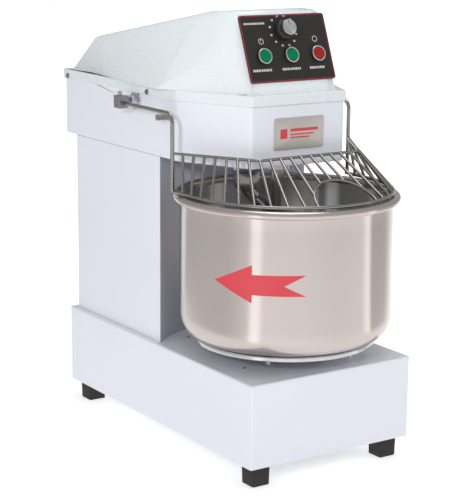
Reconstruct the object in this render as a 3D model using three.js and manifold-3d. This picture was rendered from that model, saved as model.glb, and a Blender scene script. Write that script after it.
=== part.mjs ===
// A bench-top spiral dough mixer: a box base on four feet, a column, a head with a sloped control panel, a
// turning stainless bowl under a wire guard, a spiral hook, a fixed breaker bar, and the chain and belt drive.
// Millimetres, +Z up, the front faces -Y. The origin is the bottom centre of the whole machine.
import * as THREE from "three";
import { mergeVertices } from "three/addons/utils/BufferGeometryUtils.js";
import { ConvexGeometry } from "three/addons/geometries/ConvexGeometry.js";
import Module from "manifold-3d";

const wasm = await Module();
wasm.setup();

// --- driving dimensions -------------------------------------------------------------------------------------

const GAP = 0.3; // between pieces that rest on each other
const RUN = 0.4; // radial running clearance of a shaft in its bearing
const HOLE_GAP = 1; // round a fixed piece that passes through a plate
const SHEET = 2; // wall of the painted sheet steel

const BASE_WIDTH = 327;
const BASE_LENGTH = 610;
const BASE_HEIGHT = 142;
const BASE_RETURN = 52; // inward bottom flange that carries the feet

const FOOT_SIDE = 36;
const FOOT_HEIGHT = 36.4;
const FOOT_INSET = 13;
const FOOT_TAPER = 1.5;
const BASE_BOTTOM = FOOT_HEIGHT + GAP;
const BASE_TOP = BASE_BOTTOM + BASE_HEIGHT;

const COLUMN_WIDTH = 305.2;
const COLUMN_FRONT = -6.1;
const COLUMN_BACK = 294.4;
const COLUMN_HEIGHT = 327.8;
const HEAD_UNDERSIDE = BASE_TOP + COLUMN_HEIGHT;

const HEAD_WIDTH = 306;
const HEAD_NOSE_WIDTH = 188;
const HEAD_NOSE_Y = -194;
const HEAD_BEND_Y = -61.6;
const HEAD_BACK = 328.5;
const HEAD_FLOOR = 3;
const WELL_INSET = 12; // from the column's outside to the opening in the head's floor

const LIP_WALL = 3.8;
const SKIRT_HEIGHT = 101.5; // from the head's underside up to the lip
const LIP_HEIGHT = 17.7;
const LIP_BOTTOM = HEAD_UNDERSIDE + SKIRT_HEIGHT;
const LIP_TOP = LIP_BOTTOM + LIP_HEIGHT;
const COVER_WALL = 4;
const ROOF_HEIGHT = 129.6;
const ROOF_TOP = LIP_TOP + ROOF_HEIGHT;
const ROOF_FOOT_HALF = 139;
const ROOF_TOP_HALF = 98;
const ROOF_NOSE_FOOT_HALF = 88;
const ROOF_NOSE_TOP_HALF = 85.5;
const ROOF_NOSE_FOOT_Y = -186.5;
const ROOF_NOSE_TOP_Y = -135.5;
const ROOF_RIDGE_Y = -72.9;
const ROOF_TAIL_TOP_Y = 281;
const ROOF_TAIL_TOP = LIP_TOP + 61.3;
const ROOF_BACK_Y = 331;

const PANEL_WIDTH = 172;
const PANEL_LENGTH = 114;
const PANEL_RISE = 19.7; // up the sloped face from the cover's ledge to the panel's lower edge
const PANEL_THICK = 2;
const PANEL_CORNER = 5;
const BUTTON_COUNT = 3;
const BUTTON_PITCH = 54.3;
const BUTTON_ROW_X = 3.6;
const BUTTON_ROW_Y = -13.3;
const BUTTON_RADIUS = 10;
const BEZEL_WALL = 1.3;
const BEZEL_BODY_RADIUS = BUTTON_RADIUS + RUN + BEZEL_WALL;
const BEZEL_RADIUS = BEZEL_BODY_RADIUS + 1.8;
const BEZEL_HEIGHT = 5.5;
const KNOB_X = -2.5;
const KNOB_Y = 29;
const KNOB_SKIRT_RADIUS = 17.5;
const KNOB_SKIRT_HEIGHT = 9;
const KNOB_RADIUS = 13.5;
const KNOB_HEIGHT = 20;
const KNOB_SPINDLE_RADIUS = 3;

const PLATE_WIDTH = 100.5;
const PLATE_HEIGHT = 53;
const PLATE_Z = HEAD_UNDERSIDE + 54;
const PLATE_THICK = 1.2;

const BOWL_Y = -164.4;
const BOWL_RADIUS = 180;
const BOWL_WALL = 2;
const BOWL_BOTTOM = BASE_TOP + 33.3;
const BOWL_HEIGHT = 239.5; // from the outside of its bottom to the middle of its bead
const BOWL_CORNER_WIDTH = 40;
const BOWL_CORNER_HEIGHT = 44;
const BOWL_CORNER_FULLNESS = 2.4; // 2 is an ellipse, more is squarer
const BEAD_RADIUS = 7;
const BEAD_CENTRE_Z = BOWL_BOTTOM + BOWL_HEIGHT;
const TURNTABLE_RADIUS = 154;
const TURNTABLE_THICK = 8;
const TURNTABLE_HUB_RADIUS = 32;
const BOWL_SHAFT_RADIUS = 20;
const BOLT_COUNT = 6;
const BOLT_CIRCLE = 144;
const BOLT_FIRST_ANGLE = 14;

const HOUSING_FLANGE_RADIUS = 70;
const HOUSING_FLANGE_THICK = 8;
const HOUSING_BODY_RADIUS = 44;
const HOUSING_BOTTOM = BASE_TOP - 74.7;

const HOOK_X = -20;
const HOOK_Y = -74;
const HOOK_SHAFT_RADIUS = 14;
const HOOK_ROD_RADIUS = 11;
const HOOK_SPIRAL_RADIUS = 56;
const HOOK_TIP_Z = BOWL_BOTTOM + 24;
const HOOK_HUB_RADIUS = 22;
const HOOK_HUB_TOP = HEAD_UNDERSIDE - 25.5;
const HOOK_HUB_BOTTOM = HOOK_HUB_TOP - 29;
const HOOK_TURNS = 1.35;
const COLLAR_RADIUS = 31;
const COLLAR_DROP = 24;
const SPINDLE_BODY_RADIUS = 26;

const BAR_X = -17;
const BAR_Y = -158;
const BAR_RADIUS = 9;
const BAR_END_Z = BOWL_BOTTOM + 28;
const BAR_FLANGE_RADIUS = 20;
const BAR_FLANGE_THICK = 10;

const CHAIN_PITCH = 12.7;
const CHAIN_HEIGHT = 10;
const CHAIN_THICK = 6;
const LOOP_SAG = 0.3; // between a round stretch of loop and its chords
const SPROCKET_THICK = 7;
const TEETH = { bowl: 60, pinion: 10, hookLower: 15, transferUpper: 25, hookUpper: 30, counter: 17 };
const BOWL_CHAIN_Z = BASE_TOP - 90.7;
const TRANSFER_CHAIN_Z = HEAD_UNDERSIDE + 30.5;
const HOOK_CHAIN_Z = HEAD_UNDERSIDE + 56.5;
const BELT_Z = HEAD_UNDERSIDE + 100.5;
const SMALL_PULLEY_RADIUS = 28;
const PULLEY_RATIO = 4;
const PULLEY_RIM = 3; // rim outside the belt's pitch line
const GROOVE_WIDTH = 12;
const GROOVE_DEPTH = 9;
const BELT_WIDTH = 10;
const BELT_THICK = 7.5;
const BELT_SEAT = 1.4; // from the groove floor to the belt

const TRANSFER_X = 88;
const TRANSFER_Y = 72;
const COUNTER_Y = 66;
const SHAFT_RADIUS = 10;
const MOTOR_Y = 218;
const MOTOR_RADIUS = 64;
const MOTOR_LENGTH = 210;
const MOTOR_FINS = 10;
const MOTOR_SHAFT_RADIUS = 9.5;
const DRIVE_PLATE_THICK = 8;
const DRIVE_PLATE_HALF = HEAD_WIDTH / 2 - 7;
const DRIVE_PLATE_YS = [-30, 300];
const BEARING_RADIUS = 24;

const RING_WIRE = 3; // wire radii of the guard
const RAIL_WIRE = 2.5;
const BAR_WIRE = 2.5;
const ARM_WIRE = 3.5;
const GUARD_RADIUS = 179.1;
const GUARD_RING_Z = BEAD_CENTRE_Z + 11.8;
const GUARD_RAIL_Z = HEAD_UNDERSIDE + 20.3;
const GUARD_ARM_X = GUARD_RADIUS + 3.1;
const GUARD_ARM_Y = -94;
const GUARD_RAIL_HALF = 100.8;
const GUARD_RAIL_Y = -229;
const ARM_BEND_RADIUS = 14;
const FRONT_SPACES = 10;
const SIDE_SPACES = 8;
const ARCH_HALF = 58;
const ARCH_RISE = 0.5; // share of the way from the ring up to the rail

const PIVOT_Y = 73;
const PIVOT_Z = HEAD_UNDERSIDE + 87.5;
const GUARD_ARM_Z = PIVOT_Z - 2;
const PIN_RADIUS = 6;
const PIN_INNER_X = HEAD_WIDTH / 2 - 15;
const FLANGE_RADIUS = 13;
const FLANGE_OUTER_X = HEAD_WIDTH / 2 + 13;
const BLOCK_INNER_X = GUARD_ARM_X - 8.2;
const BLOCK_OUTER_X = GUARD_ARM_X + 9.8;
const BLOCK_LENGTH = 20;
const BLOCK_HEIGHT = 22;
const SET_SCREW_RADIUS = 3;
const SET_SCREW_RISE = 7;
const PEG_Y = -40;
const PEG_Z = PIVOT_Z - 14.5;
const PEG_RADIUS = 5.2;
const PEG_END_X = HEAD_WIDTH / 2 + 27;

const COVER_SCREW_YS = [313.4, 28.9];
const COVER_SCREW_Z = LIP_BOTTOM + 5.5;
const COVER_SCREW_RADIUS = 3;
const COVER_SCREW_HEAD = 5;

// --- derived places -----------------------------------------------------------------------------------------

const HEAD_TOP = LIP_TOP - COVER_WALL - GAP;
const LIP_OFFSET = GAP + LIP_WALL;
const DRIVE_PLATE_Z = HEAD_UNDERSIDE + HEAD_FLOOR + GAP;
const DRIVE_PLATE_TOP = DRIVE_PLATE_Z + DRIVE_PLATE_THICK;
const BEAD_CENTRE_R = BOWL_RADIUS - BOWL_WALL + BEAD_RADIUS;
const TURNTABLE_TOP = BOWL_BOTTOM - GAP;
const TURNTABLE_BOTTOM = TURNTABLE_TOP - TURNTABLE_THICK;
const FRONT_MOST = BOWL_Y - BEAD_CENTRE_R - BEAD_RADIUS;
const BACK_MOST = HEAD_BACK + LIP_OFFSET;
const ORIGIN_SHIFT_Y = -(FRONT_MOST + BACK_MOST) / 2;
const LARGE_PULLEY_RADIUS = SMALL_PULLEY_RADIUS * PULLEY_RATIO;
const SLOPE_LENGTH = Math.hypot(ROOF_NOSE_TOP_Y - ROOF_NOSE_FOOT_Y, ROOF_TOP - LIP_TOP);
const SLOPE_TILT = Math.atan2(ROOF_TOP - LIP_TOP, ROOF_NOSE_TOP_Y - ROOF_NOSE_FOOT_Y);

// --- helpers ------------------------------------------------------------------------------------------------

/** The manifold-3d solid of a closed three.js geometry. */
function solid(geometry) {
  const bare = new THREE.BufferGeometry();
  bare.setAttribute("position", geometry.getAttribute("position"));
  bare.setIndex(geometry.index);
  const merged = mergeVertices(bare, 1e-4);
  const triVerts = new Uint32Array(merged.index.array);
  return new wasm.Manifold(
    new wasm.Mesh({ numProp: 3, vertProperties: merged.attributes.position.array, triVerts }),
  );
}

/** The flat-shaded three.js geometry of a manifold-3d solid. */
function geometryOf(body) {
  const { numProp, vertProperties, triVerts } = body.getMesh();
  const positions = new Float32Array((vertProperties.length / numProp) * 3);
  for (let i = 0; i < positions.length / 3; i++) {
    positions.set(vertProperties.subarray(i * numProp, i * numProp + 3), i * 3);
  }
  const geometry = new THREE.BufferGeometry();
  geometry.setAttribute("position", new THREE.BufferAttribute(positions, 3));
  geometry.setIndex(new THREE.BufferAttribute(new Uint32Array(triVerts), 1));
  const flat = geometry.toNonIndexed();
  flat.computeVertexNormals();
  return flat;
}

/** One geometry joined from several closed ones. */
function join(...geometries) {
  return geometryOf(geometries.map(solid).reduce((whole, next) => whole.add(next)));
}

/** The first geometry with all the others cut away. */
function cut(geometry, ...tools) {
  return geometryOf(tools.map(solid).reduce((whole, tool) => whole.subtract(tool), solid(geometry)));
}

/** A box between two corners. */
function box(x0, x1, y0, y1, z0, z1) {
  const geometry = new THREE.BoxGeometry(x1 - x0, y1 - y0, z1 - z0);
  return geometry.translate((x0 + x1) / 2, (y0 + y1) / 2, (z0 + z1) / 2);
}

/** An upright cylinder between two heights, about the axis (x, y). */
function post(radius, z0, z1, x = 0, y = 0, sides = 20) {
  const geometry = new THREE.CylinderGeometry(radius, radius, z1 - z0, sides);
  return geometry.rotateX(Math.PI / 2).translate(x, y, (z0 + z1) / 2);
}

/** A cylinder along X between x0 and x1, about the axis (y, z). */
function crossPost(radius, x0, x1, y, z, sides = 12) {
  const geometry = new THREE.CylinderGeometry(radius, radius, Math.abs(x1 - x0), sides);
  return geometry.rotateZ(Math.PI / 2).translate((x0 + x1) / 2, y, z);
}

/** A solid of revolution about Z from [radius, z] pairs that run anticlockwise, outer side upwards. */
function turned(pairs, segments = 20) {
  const points = pairs.map(([r, z]) => new THREE.Vector2(r, z));
  return new THREE.LatheGeometry(points, segments).rotateX(Math.PI / 2);
}

/** A ring of rectangular section about Z. */
function ring(inner, outer, z0, z1, segments = 20) {
  return turned([[inner, z0], [outer, z0], [outer, z1], [inner, z1], [inner, z0]], segments);
}

/** A flat outline raised from z0 to z1, with optional holes given as [x, y, radius]. */
function prism(points, z0, z1, holes = []) {
  const shape = new THREE.Shape(points);
  for (const [x, y, radius] of holes) {
    shape.holes.push(new THREE.Path().absarc(x, y, radius, 0, Math.PI * 2, true));
  }
  const settings = { depth: z1 - z0, bevelEnabled: false, curveSegments: 10 };
  return new THREE.ExtrudeGeometry(shape, settings).translate(0, 0, z0);
}

/** A round wire along a curve. */
function wire(curve, radius, steps, sides = 6) {
  const section = new THREE.Shape().absarc(0, 0, radius, 0, Math.PI * 2, false);
  const settings = { extrudePath: curve, steps, bevelEnabled: false, curveSegments: sides / 2 };
  return new THREE.ExtrudeGeometry(section, settings);
}

/** A straight round wire between two points. */
function rod(start, end, radius) {
  return wire(new THREE.LineCurve3(start, end), radius, 1);
}

/** A named mesh with its own material. */
function part(name, geometry, look) {
  const mesh = new THREE.Mesh(geometry, new THREE.MeshStandardMaterial(look));
  mesh.name = name;
  return mesh;
}

const LOOKS = {
  paint: { color: 0xe9ebf6, roughness: 0.4, metalness: 0 },
  cover: { color: 0xe8f1f3, roughness: 0.35, metalness: 0 },
  steel: { color: 0xb9b2ad, roughness: 0.25, metalness: 1 },
  bright: { color: 0xc9cbcd, roughness: 0.12, metalness: 1 },
  dark: { color: 0x2b2827, roughness: 0.55, metalness: 0 },
  rubber: { color: 0x2a2524, roughness: 0.9, metalness: 0 },
  iron: { color: 0x5a5d60, roughness: 0.6, metalness: 0.6 },
  green: { color: 0x0f8055, roughness: 0.35, metalness: 0 },
  red: { color: 0xa81d20, roughness: 0.35, metalness: 0 },
};

// --- base and column ----------------------------------------------------------------------------------------

/** The folded box base: open below, with a flange all round that the feet bolt to. */
function baseShell() {
  const halfX = BASE_WIDTH / 2;
  const halfY = BASE_LENGTH / 2;
  const body = box(-halfX, halfX, -halfY, halfY, BASE_BOTTOM, BASE_TOP);
  const inside = box(
    SHEET - halfX, halfX - SHEET, SHEET - halfY, halfY - SHEET, BASE_BOTTOM + SHEET, BASE_TOP - SHEET,
  );
  const mouth = box(
    BASE_RETURN - halfX, halfX - BASE_RETURN, BASE_RETURN - halfY, halfY - BASE_RETURN,
    BASE_BOTTOM - 1, BASE_BOTTOM + SHEET + 1,
  );
  const bowlHole = post(HOUSING_BODY_RADIUS + HOLE_GAP, BASE_TOP - SHEET - 1, BASE_TOP + 1, 0, BOWL_Y);
  const shaftHole = post(SHAFT_RADIUS * 1.4, BASE_TOP - SHEET - 1, BASE_TOP + 1, TRANSFER_X, TRANSFER_Y);
  return part("base_shell", cut(body, inside, mouth, bowlHole, shaftHole), LOOKS.paint);
}

/** The four rubber feet, square and slightly tapered towards the floor. */
function feet() {
  const x = BASE_WIDTH / 2 - FOOT_INSET - FOOT_SIDE / 2;
  const y = BASE_LENGTH / 2 - FOOT_INSET - FOOT_SIDE / 2;
  const top = FOOT_SIDE / Math.SQRT2;
  const places = [[-x, -y], [x, -y], [x, y], [-x, y]];
  return places.map(([px, py], i) => {
    const block = new THREE.CylinderGeometry(top, top - FOOT_TAPER, FOOT_HEIGHT, 4);
    const foot = part(`foot_${i + 1}`, block.rotateY(Math.PI / 4).rotateX(Math.PI / 2), LOOKS.rubber);
    foot.position.set(px, py, FOOT_HEIGHT / 2);
    return foot;
  });
}

/** The column's plan outline, shrunk by an inset: its front is one hollow arc round the bowl's axis. */
function columnOutline(inset) {
  const half = COLUMN_WIDTH / 2 - inset;
  const back = COLUMN_BACK - inset;
  const recess = Math.hypot(COLUMN_WIDTH / 2, COLUMN_FRONT - BOWL_Y) + inset;
  const reach = Math.asin(half / recess);
  const steps = 18;
  const outline = [[half, back], [-half, back]];
  for (let i = 0; i <= steps; i++) {
    const angle = reach * ((2 * i) / steps - 1);
    outline.push([recess * Math.sin(angle), BOWL_Y + recess * Math.cos(angle)]);
  }
  return outline.map(([x, y]) => new THREE.Vector2(x, y));
}

/** The column: a folded tube with a hollow front and a service opening in its back. */
function column() {
  const half = COLUMN_WIDTH / 2;
  const z0 = BASE_TOP + GAP;
  const z1 = HEAD_UNDERSIDE - GAP;
  const body = prism(columnOutline(0), z0, z1);
  const inside = prism(columnOutline(SHEET), z0 - 1, z1 + 1);
  const service = box(30 - half, half - 30, COLUMN_BACK - SHEET - 1, COLUMN_BACK + 1, z0 + 30, z1 - 30);
  return part("column_shell", cut(body, inside, service), LOOKS.paint);
}

/** The screwed panel over the service opening, with rows of cooling slots and a hole for the gland. */
function backPanel() {
  const half = COLUMN_WIDTH / 2 - 14;
  const z0 = BASE_TOP + 16;
  const z1 = HEAD_UNDERSIDE - 16;
  const y0 = COLUMN_BACK + GAP;
  const slots = [];
  for (let row = 0; row < 6; row++) {
    const z = z1 - 40 - row * 14;
    slots.push(box(-60, 60, y0 - 1, y0 + SHEET + 1, z, z + 5));
  }
  const gland = new THREE.CylinderGeometry(8, 8, 6, 16).translate(half - 40, y0, z0 + 36);
  return part("column_back_panel", cut(box(-half, half, y0, y0 + SHEET, z0, z1), gland, ...slots), LOOKS.paint);
}

/** The strain relief through which the supply cable would enter. */
function cableGland() {
  const nut = new THREE.CylinderGeometry(12, 12, 8, 6).translate(0, SHEET + GAP + 4, 0);
  const stem = new THREE.CylinderGeometry(7.5, 7.5, 30, 12).translate(0, 3, 0);
  const dome = new THREE.CylinderGeometry(6, 9.5, 8, 12).translate(0, SHEET + GAP + 12, 0);
  const gland = part("cable_gland", join(nut, stem, dome), LOOKS.dark);
  gland.position.set(COLUMN_WIDTH / 2 - 54, COLUMN_BACK + GAP, BASE_TOP + 52);
  return gland;
}

// --- head ---------------------------------------------------------------------------------------------------

/** The head's plan outline, grown outwards by an offset: straight sides, a chamfer each side, a flat nose. */
function headOutline(offset) {
  const side = HEAD_WIDTH / 2 + offset;
  const nose = HEAD_NOSE_WIDTH / 2 + offset * 0.25;
  const bend = HEAD_BEND_Y - offset * 0.25;
  const front = HEAD_NOSE_Y - offset;
  const back = HEAD_BACK + offset;
  const half = [[nose, front], [side, bend], [side, back]];
  const mirrored = half.map(([x, y]) => [-x, y]).reverse();
  return [...half, ...mirrored].map(([x, y]) => new THREE.Vector2(x, y));
}

/** Cylinders through both side walls of the head at a place (y, z). */
function throughWalls(radius, y, z) {
  return crossPost(radius, -HEAD_WIDTH, HEAD_WIDTH, y, z);
}

/** The head's sheet-steel tray: skirt and floor, open above and over the column. */
function headBody() {
  const tray = prism(headOutline(0), HEAD_UNDERSIDE, HEAD_TOP);
  const inside = prism(headOutline(-SHEET), HEAD_UNDERSIDE + HEAD_FLOOR, HEAD_TOP + 1);
  const well = prism(columnOutline(WELL_INSET), HEAD_UNDERSIDE - 1, HEAD_UNDERSIDE + HEAD_FLOOR + 1);
  const floorHoles = [
    post(SPINDLE_BODY_RADIUS + HOLE_GAP, HEAD_UNDERSIDE - 1, HEAD_UNDERSIDE + 5, HOOK_X, HOOK_Y),
    post(BAR_RADIUS + HOLE_GAP, HEAD_UNDERSIDE - 1, HEAD_UNDERSIDE + 5, BAR_X, BAR_Y),
  ];
  const screwHoles = COVER_SCREW_YS.map((y) => throughWalls(COVER_SCREW_RADIUS + GAP, y, COVER_SCREW_Z));
  const pinHole = throughWalls(PIN_RADIUS + 1, PIVOT_Y, PIVOT_Z);
  return part("head_body", cut(tray, inside, well, ...floorHoles, ...screwHoles, pinHole), LOOKS.paint);
}

/** Half the width of the roof's side plane at a height. */
function roofHalf(z) {
  const share = (z - LIP_TOP) / (ROOF_TOP - LIP_TOP);
  return ROOF_FOOT_HALF + (ROOF_TOP_HALF - ROOF_FOOT_HALF) * share;
}

/** The roof as a convex block whose walls stand in by an inset, running down to foot height z0. */
function roofBlock(inset, z0) {
  const side = inset * 1.05;
  const half = [
    [ROOF_NOSE_FOOT_HALF - side, ROOF_NOSE_FOOT_Y + side, LIP_TOP],
    [ROOF_NOSE_TOP_HALF - side, ROOF_NOSE_TOP_Y + side, ROOF_TOP - inset],
    [ROOF_TOP_HALF - side, ROOF_RIDGE_Y + side, ROOF_TOP - inset],
    [ROOF_FOOT_HALF - side, HEAD_BEND_Y + side, LIP_TOP],
    [roofHalf(ROOF_TAIL_TOP) - side, ROOF_TAIL_TOP_Y - side, ROOF_TAIL_TOP - side],
    [ROOF_FOOT_HALF - side, ROOF_BACK_Y - side, LIP_TOP],
  ];
  const feetPoints = half.filter(([, , z]) => z === LIP_TOP).map(([x, y]) => [x, y, z0]);
  const points = [...half, ...feetPoints].flatMap(([x, y, z]) => [
    new THREE.Vector3(x, y, z),
    new THREE.Vector3(-x, y, z),
  ]);
  return new ConvexGeometry(points);
}

/** The moulded top cover: a lip that hangs over the head, a ledge, and the sloped roof. */
function topCover(panelMatrix) {
  const outside = join(prism(headOutline(LIP_OFFSET), LIP_BOTTOM, LIP_TOP), roofBlock(0, LIP_TOP - 1));
  const lipInside = prism(headOutline(GAP), LIP_BOTTOM - 1, LIP_TOP - COVER_WALL);
  const screwHoles = COVER_SCREW_YS.map((y) => throughWalls(COVER_SCREW_RADIUS + GAP, y, COVER_SCREW_Z));
  const panelHoles = buttonXs().map((x) => post(BEZEL_BODY_RADIUS + GAP, -12, 12, x, BUTTON_ROW_Y));
  panelHoles.push(post(KNOB_SPINDLE_RADIUS + 1, -12, 12, KNOB_X, KNOB_Y, 16));
  const placed = panelHoles.map((hole) => hole.applyMatrix4(panelMatrix));
  const shell = cut(outside, lipInside, roofBlock(COVER_WALL, LIP_BOTTOM), ...screwHoles, ...placed);
  return part("top_cover", shell, LOOKS.cover);
}

/** The screws that hold the cover's lip to the head, two each side. */
function coverScrews() {
  const wall = HEAD_WIDTH / 2;
  const seat = wall + LIP_OFFSET + GAP;
  const screws = [];
  for (const side of [-1, 1]) {
    for (const y of COVER_SCREW_YS) {
      const shank = crossPost(COVER_SCREW_RADIUS, side * (wall - 8), side * (seat + 1), y, COVER_SCREW_Z, 12);
      const head = crossPost(COVER_SCREW_HEAD, side * seat, side * (seat + 2.5), y, COVER_SCREW_Z, 16);
      screws.push(part(`cover_screw_${screws.length + 1}`, join(shank, head), LOOKS.bright));
    }
  }
  return screws;
}

/** The blank name plate on the nose of the head. */
function namePlate() {
  const plate = prism(roundedOutline(PLATE_WIDTH, PLATE_HEIGHT, 4), 0, PLATE_THICK);
  const mesh = part("name_plate", plate, LOOKS.steel);
  mesh.position.set(1.2, HEAD_NOSE_Y - GAP, PLATE_Z);
  mesh.rotation.x = Math.PI / 2;
  return mesh;
}

// --- control panel, in a frame whose +Z leaves the sloped face and whose +Y runs up it -----------------------

/** A rectangle about the origin with round corners. */
function roundedOutline(width, height, radius) {
  const shape = new THREE.Shape();
  const x = width / 2 - radius;
  const y = height / 2 - radius;
  shape.absarc(x, y, radius, 0, Math.PI / 2, false);
  shape.absarc(-x, y, radius, Math.PI / 2, Math.PI, false);
  shape.absarc(-x, -y, radius, Math.PI, Math.PI * 1.5, false);
  shape.absarc(x, -y, radius, Math.PI * 1.5, Math.PI * 2, false);
  return shape.getPoints(4).slice(0, -1);
}

/** The X places of the push-buttons on the panel. */
function buttonXs() {
  const first = BUTTON_ROW_X - ((BUTTON_COUNT - 1) / 2) * BUTTON_PITCH;
  return Array.from({ length: BUTTON_COUNT }, (_, i) => first + i * BUTTON_PITCH);
}

/** The placed, empty group of the sloped face, with its origin at the panel's centre. */
function panelFrame() {
  const frame = new THREE.Group();
  const up = (PANEL_RISE + PANEL_LENGTH / 2) / SLOPE_LENGTH;
  const y = ROOF_NOSE_FOOT_Y + (ROOF_NOSE_TOP_Y - ROOF_NOSE_FOOT_Y) * up;
  const z = LIP_TOP + (ROOF_TOP - LIP_TOP) * up;
  frame.position.set(0, y, z);
  frame.rotation.x = SLOPE_TILT;
  frame.updateMatrix();
  return frame;
}

/** The dark panel plate with holes for the bushings and the timer spindle. */
function controlPanel() {
  const holes = buttonXs().map((x) => [x, BUTTON_ROW_Y, BEZEL_BODY_RADIUS + GAP]);
  holes.push([KNOB_X, KNOB_Y, KNOB_SPINDLE_RADIUS + 1]);
  const outline = roundedOutline(PANEL_WIDTH, PANEL_LENGTH, PANEL_CORNER);
  return part("control_panel", prism(outline, GAP, GAP + PANEL_THICK, holes), LOOKS.dark);
}

/** One threaded button bushing with its bright rim. */
function bezel(index, x) {
  const seat = 2 * GAP + PANEL_THICK;
  const bore = BUTTON_RADIUS + RUN;
  const profile = [
    [bore, -22],
    [BEZEL_BODY_RADIUS, -22],
    [BEZEL_BODY_RADIUS, seat],
    [BEZEL_RADIUS, seat],
    [BEZEL_RADIUS, seat + BEZEL_HEIGHT - 1],
    [BEZEL_RADIUS - 1, seat + BEZEL_HEIGHT],
    [bore, seat + BEZEL_HEIGHT],
    [bore, -22],
  ];
  const mesh = part(`button_bezel_${index + 1}`, turned(profile, 20), LOOKS.bright);
  mesh.position.set(x, BUTTON_ROW_Y, 0);
  return mesh;
}

/** One push-button cap, flush with its rim. */
function button(index, x, look) {
  const top = 2 * GAP + PANEL_THICK + BEZEL_HEIGHT + 0.6;
  const mesh = part(`push_button_${index + 1}`, post(BUTTON_RADIUS, -14, top), look);
  mesh.position.set(x, BUTTON_ROW_Y, 0);
  return mesh;
}

/** The timer's case behind the face, bored for the knob's spindle. */
function timerBody() {
  const back = -COVER_WALL * 1.2 - GAP;
  const shell = box(-24, 24, -24, 24, back - 38, back - 2);
  const mesh = part("timer_body", cut(shell, post(KNOB_SPINDLE_RADIUS + RUN, back - 20, back, 0, 0, 16)), LOOKS.dark);
  mesh.position.set(KNOB_X, KNOB_Y, 0);
  return mesh;
}

/** The timer knob with its spindle, skirt and raised cap. */
function timerKnob() {
  const seat = 2 * GAP + PANEL_THICK + 0.6;
  const profile = [
    [0, -22],
    [KNOB_SPINDLE_RADIUS, -22],
    [KNOB_SPINDLE_RADIUS, seat],
    [KNOB_SKIRT_RADIUS, seat],
    [KNOB_SKIRT_RADIUS - 1, seat + KNOB_SKIRT_HEIGHT],
    [KNOB_RADIUS, seat + KNOB_SKIRT_HEIGHT + 1],
    [KNOB_RADIUS, seat + KNOB_HEIGHT - 1],
    [KNOB_RADIUS - 1, seat + KNOB_HEIGHT],
    [0, seat + KNOB_HEIGHT],
  ];
  const mesh = part("timer_knob", turned(profile, 20), LOOKS.bright);
  mesh.position.set(KNOB_X, KNOB_Y, 0);
  return mesh;
}

// --- bowl, in a frame whose Z axis is the bowl's axis --------------------------------------------------------

/** Points of a round stretch of profile, from one angle to another in degrees. */
function arc(r, z, radius, from, to, steps) {
  return Array.from({ length: steps + 1 }, (_, i) => {
    const a = THREE.MathUtils.degToRad(from + ((to - from) * i) / steps);
    return [r + radius * Math.cos(a), z + radius * Math.sin(a)];
  });
}

/** The bowl's full, rounded corner between its flat bottom and its wall, moved inwards by an offset. */
function bowlCorner(offset, steps = 6) {
  const width = BOWL_CORNER_WIDTH - offset;
  const height = BOWL_CORNER_HEIGHT - offset;
  const power = 2 / BOWL_CORNER_FULLNESS;
  return Array.from({ length: steps + 1 }, (_, i) => {
    const a = (Math.PI / 2) * (i / steps);
    const r = BOWL_RADIUS - BOWL_CORNER_WIDTH + width * Math.abs(Math.sin(a)) ** power;
    const z = BOWL_BOTTOM + BOWL_CORNER_HEIGHT - height * Math.abs(Math.cos(a)) ** power;
    return [r, z];
  });
}

/** The spun bowl: flat bottom, round corner, straight wall and a rolled bead. */
function bowl() {
  const profile = [
    [0, BOWL_BOTTOM],
    ...bowlCorner(0),
    ...arc(BEAD_CENTRE_R, BEAD_CENTRE_Z, BEAD_RADIUS, -125, 180, 7),
    ...bowlCorner(BOWL_WALL).reverse(),
    [0, BOWL_BOTTOM + BOWL_WALL],
  ];
  return part("bowl", turned(profile, 40), LOOKS.steel);
}

/** The turntable disc under the bowl, with its hub and the shaft that runs down into the base. */
function turntable() {
  const hubBottom = BASE_TOP + 2 * GAP + HOUSING_FLANGE_THICK + 1;
  const profile = [
    [0, BOWL_CHAIN_Z - SPROCKET_THICK],
    [BOWL_SHAFT_RADIUS, BOWL_CHAIN_Z - SPROCKET_THICK],
    [BOWL_SHAFT_RADIUS, hubBottom],
    [TURNTABLE_HUB_RADIUS, hubBottom],
    [TURNTABLE_HUB_RADIUS, TURNTABLE_BOTTOM],
    [TURNTABLE_RADIUS, TURNTABLE_BOTTOM],
    [TURNTABLE_RADIUS, TURNTABLE_TOP - 3],
    [TURNTABLE_RADIUS - 3, TURNTABLE_TOP],
    [0, TURNTABLE_TOP],
  ];
  return part("turntable", turned(profile, 32), LOOKS.bright);
}

/** The bolts that hold the turntable's rim ring, heads down. */
function bowlBolts() {
  return Array.from({ length: BOLT_COUNT }, (_, i) => {
    const angle = THREE.MathUtils.degToRad(BOLT_FIRST_ANGLE + (i * 360) / BOLT_COUNT);
    const head = new THREE.CylinderGeometry(5, 5, 6, 6).rotateX(Math.PI / 2);
    const bolt = part(`bowl_bolt_${i + 1}`, head, LOOKS.bright);
    const z = TURNTABLE_BOTTOM - GAP - 3;
    bolt.position.set(BOLT_CIRCLE * Math.sin(angle), -BOLT_CIRCLE * Math.cos(angle), z);
    return bolt;
  });
}

/** The flanged bearing housing that hangs through the base's top. */
function bowlHousing() {
  const bore = BOWL_SHAFT_RADIUS + RUN;
  const seat = BASE_TOP + GAP;
  const profile = [
    [bore, HOUSING_BOTTOM],
    [HOUSING_BODY_RADIUS, HOUSING_BOTTOM],
    [HOUSING_BODY_RADIUS, seat],
    [HOUSING_FLANGE_RADIUS, seat],
    [HOUSING_FLANGE_RADIUS, seat + HOUSING_FLANGE_THICK],
    [bore, seat + HOUSING_FLANGE_THICK],
    [bore, HOUSING_BOTTOM],
  ];
  const mesh = part("bowl_bearing_housing", turned(profile, 24), LOOKS.iron);
  mesh.position.set(0, BOWL_Y, 0);
  return mesh;
}

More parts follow.
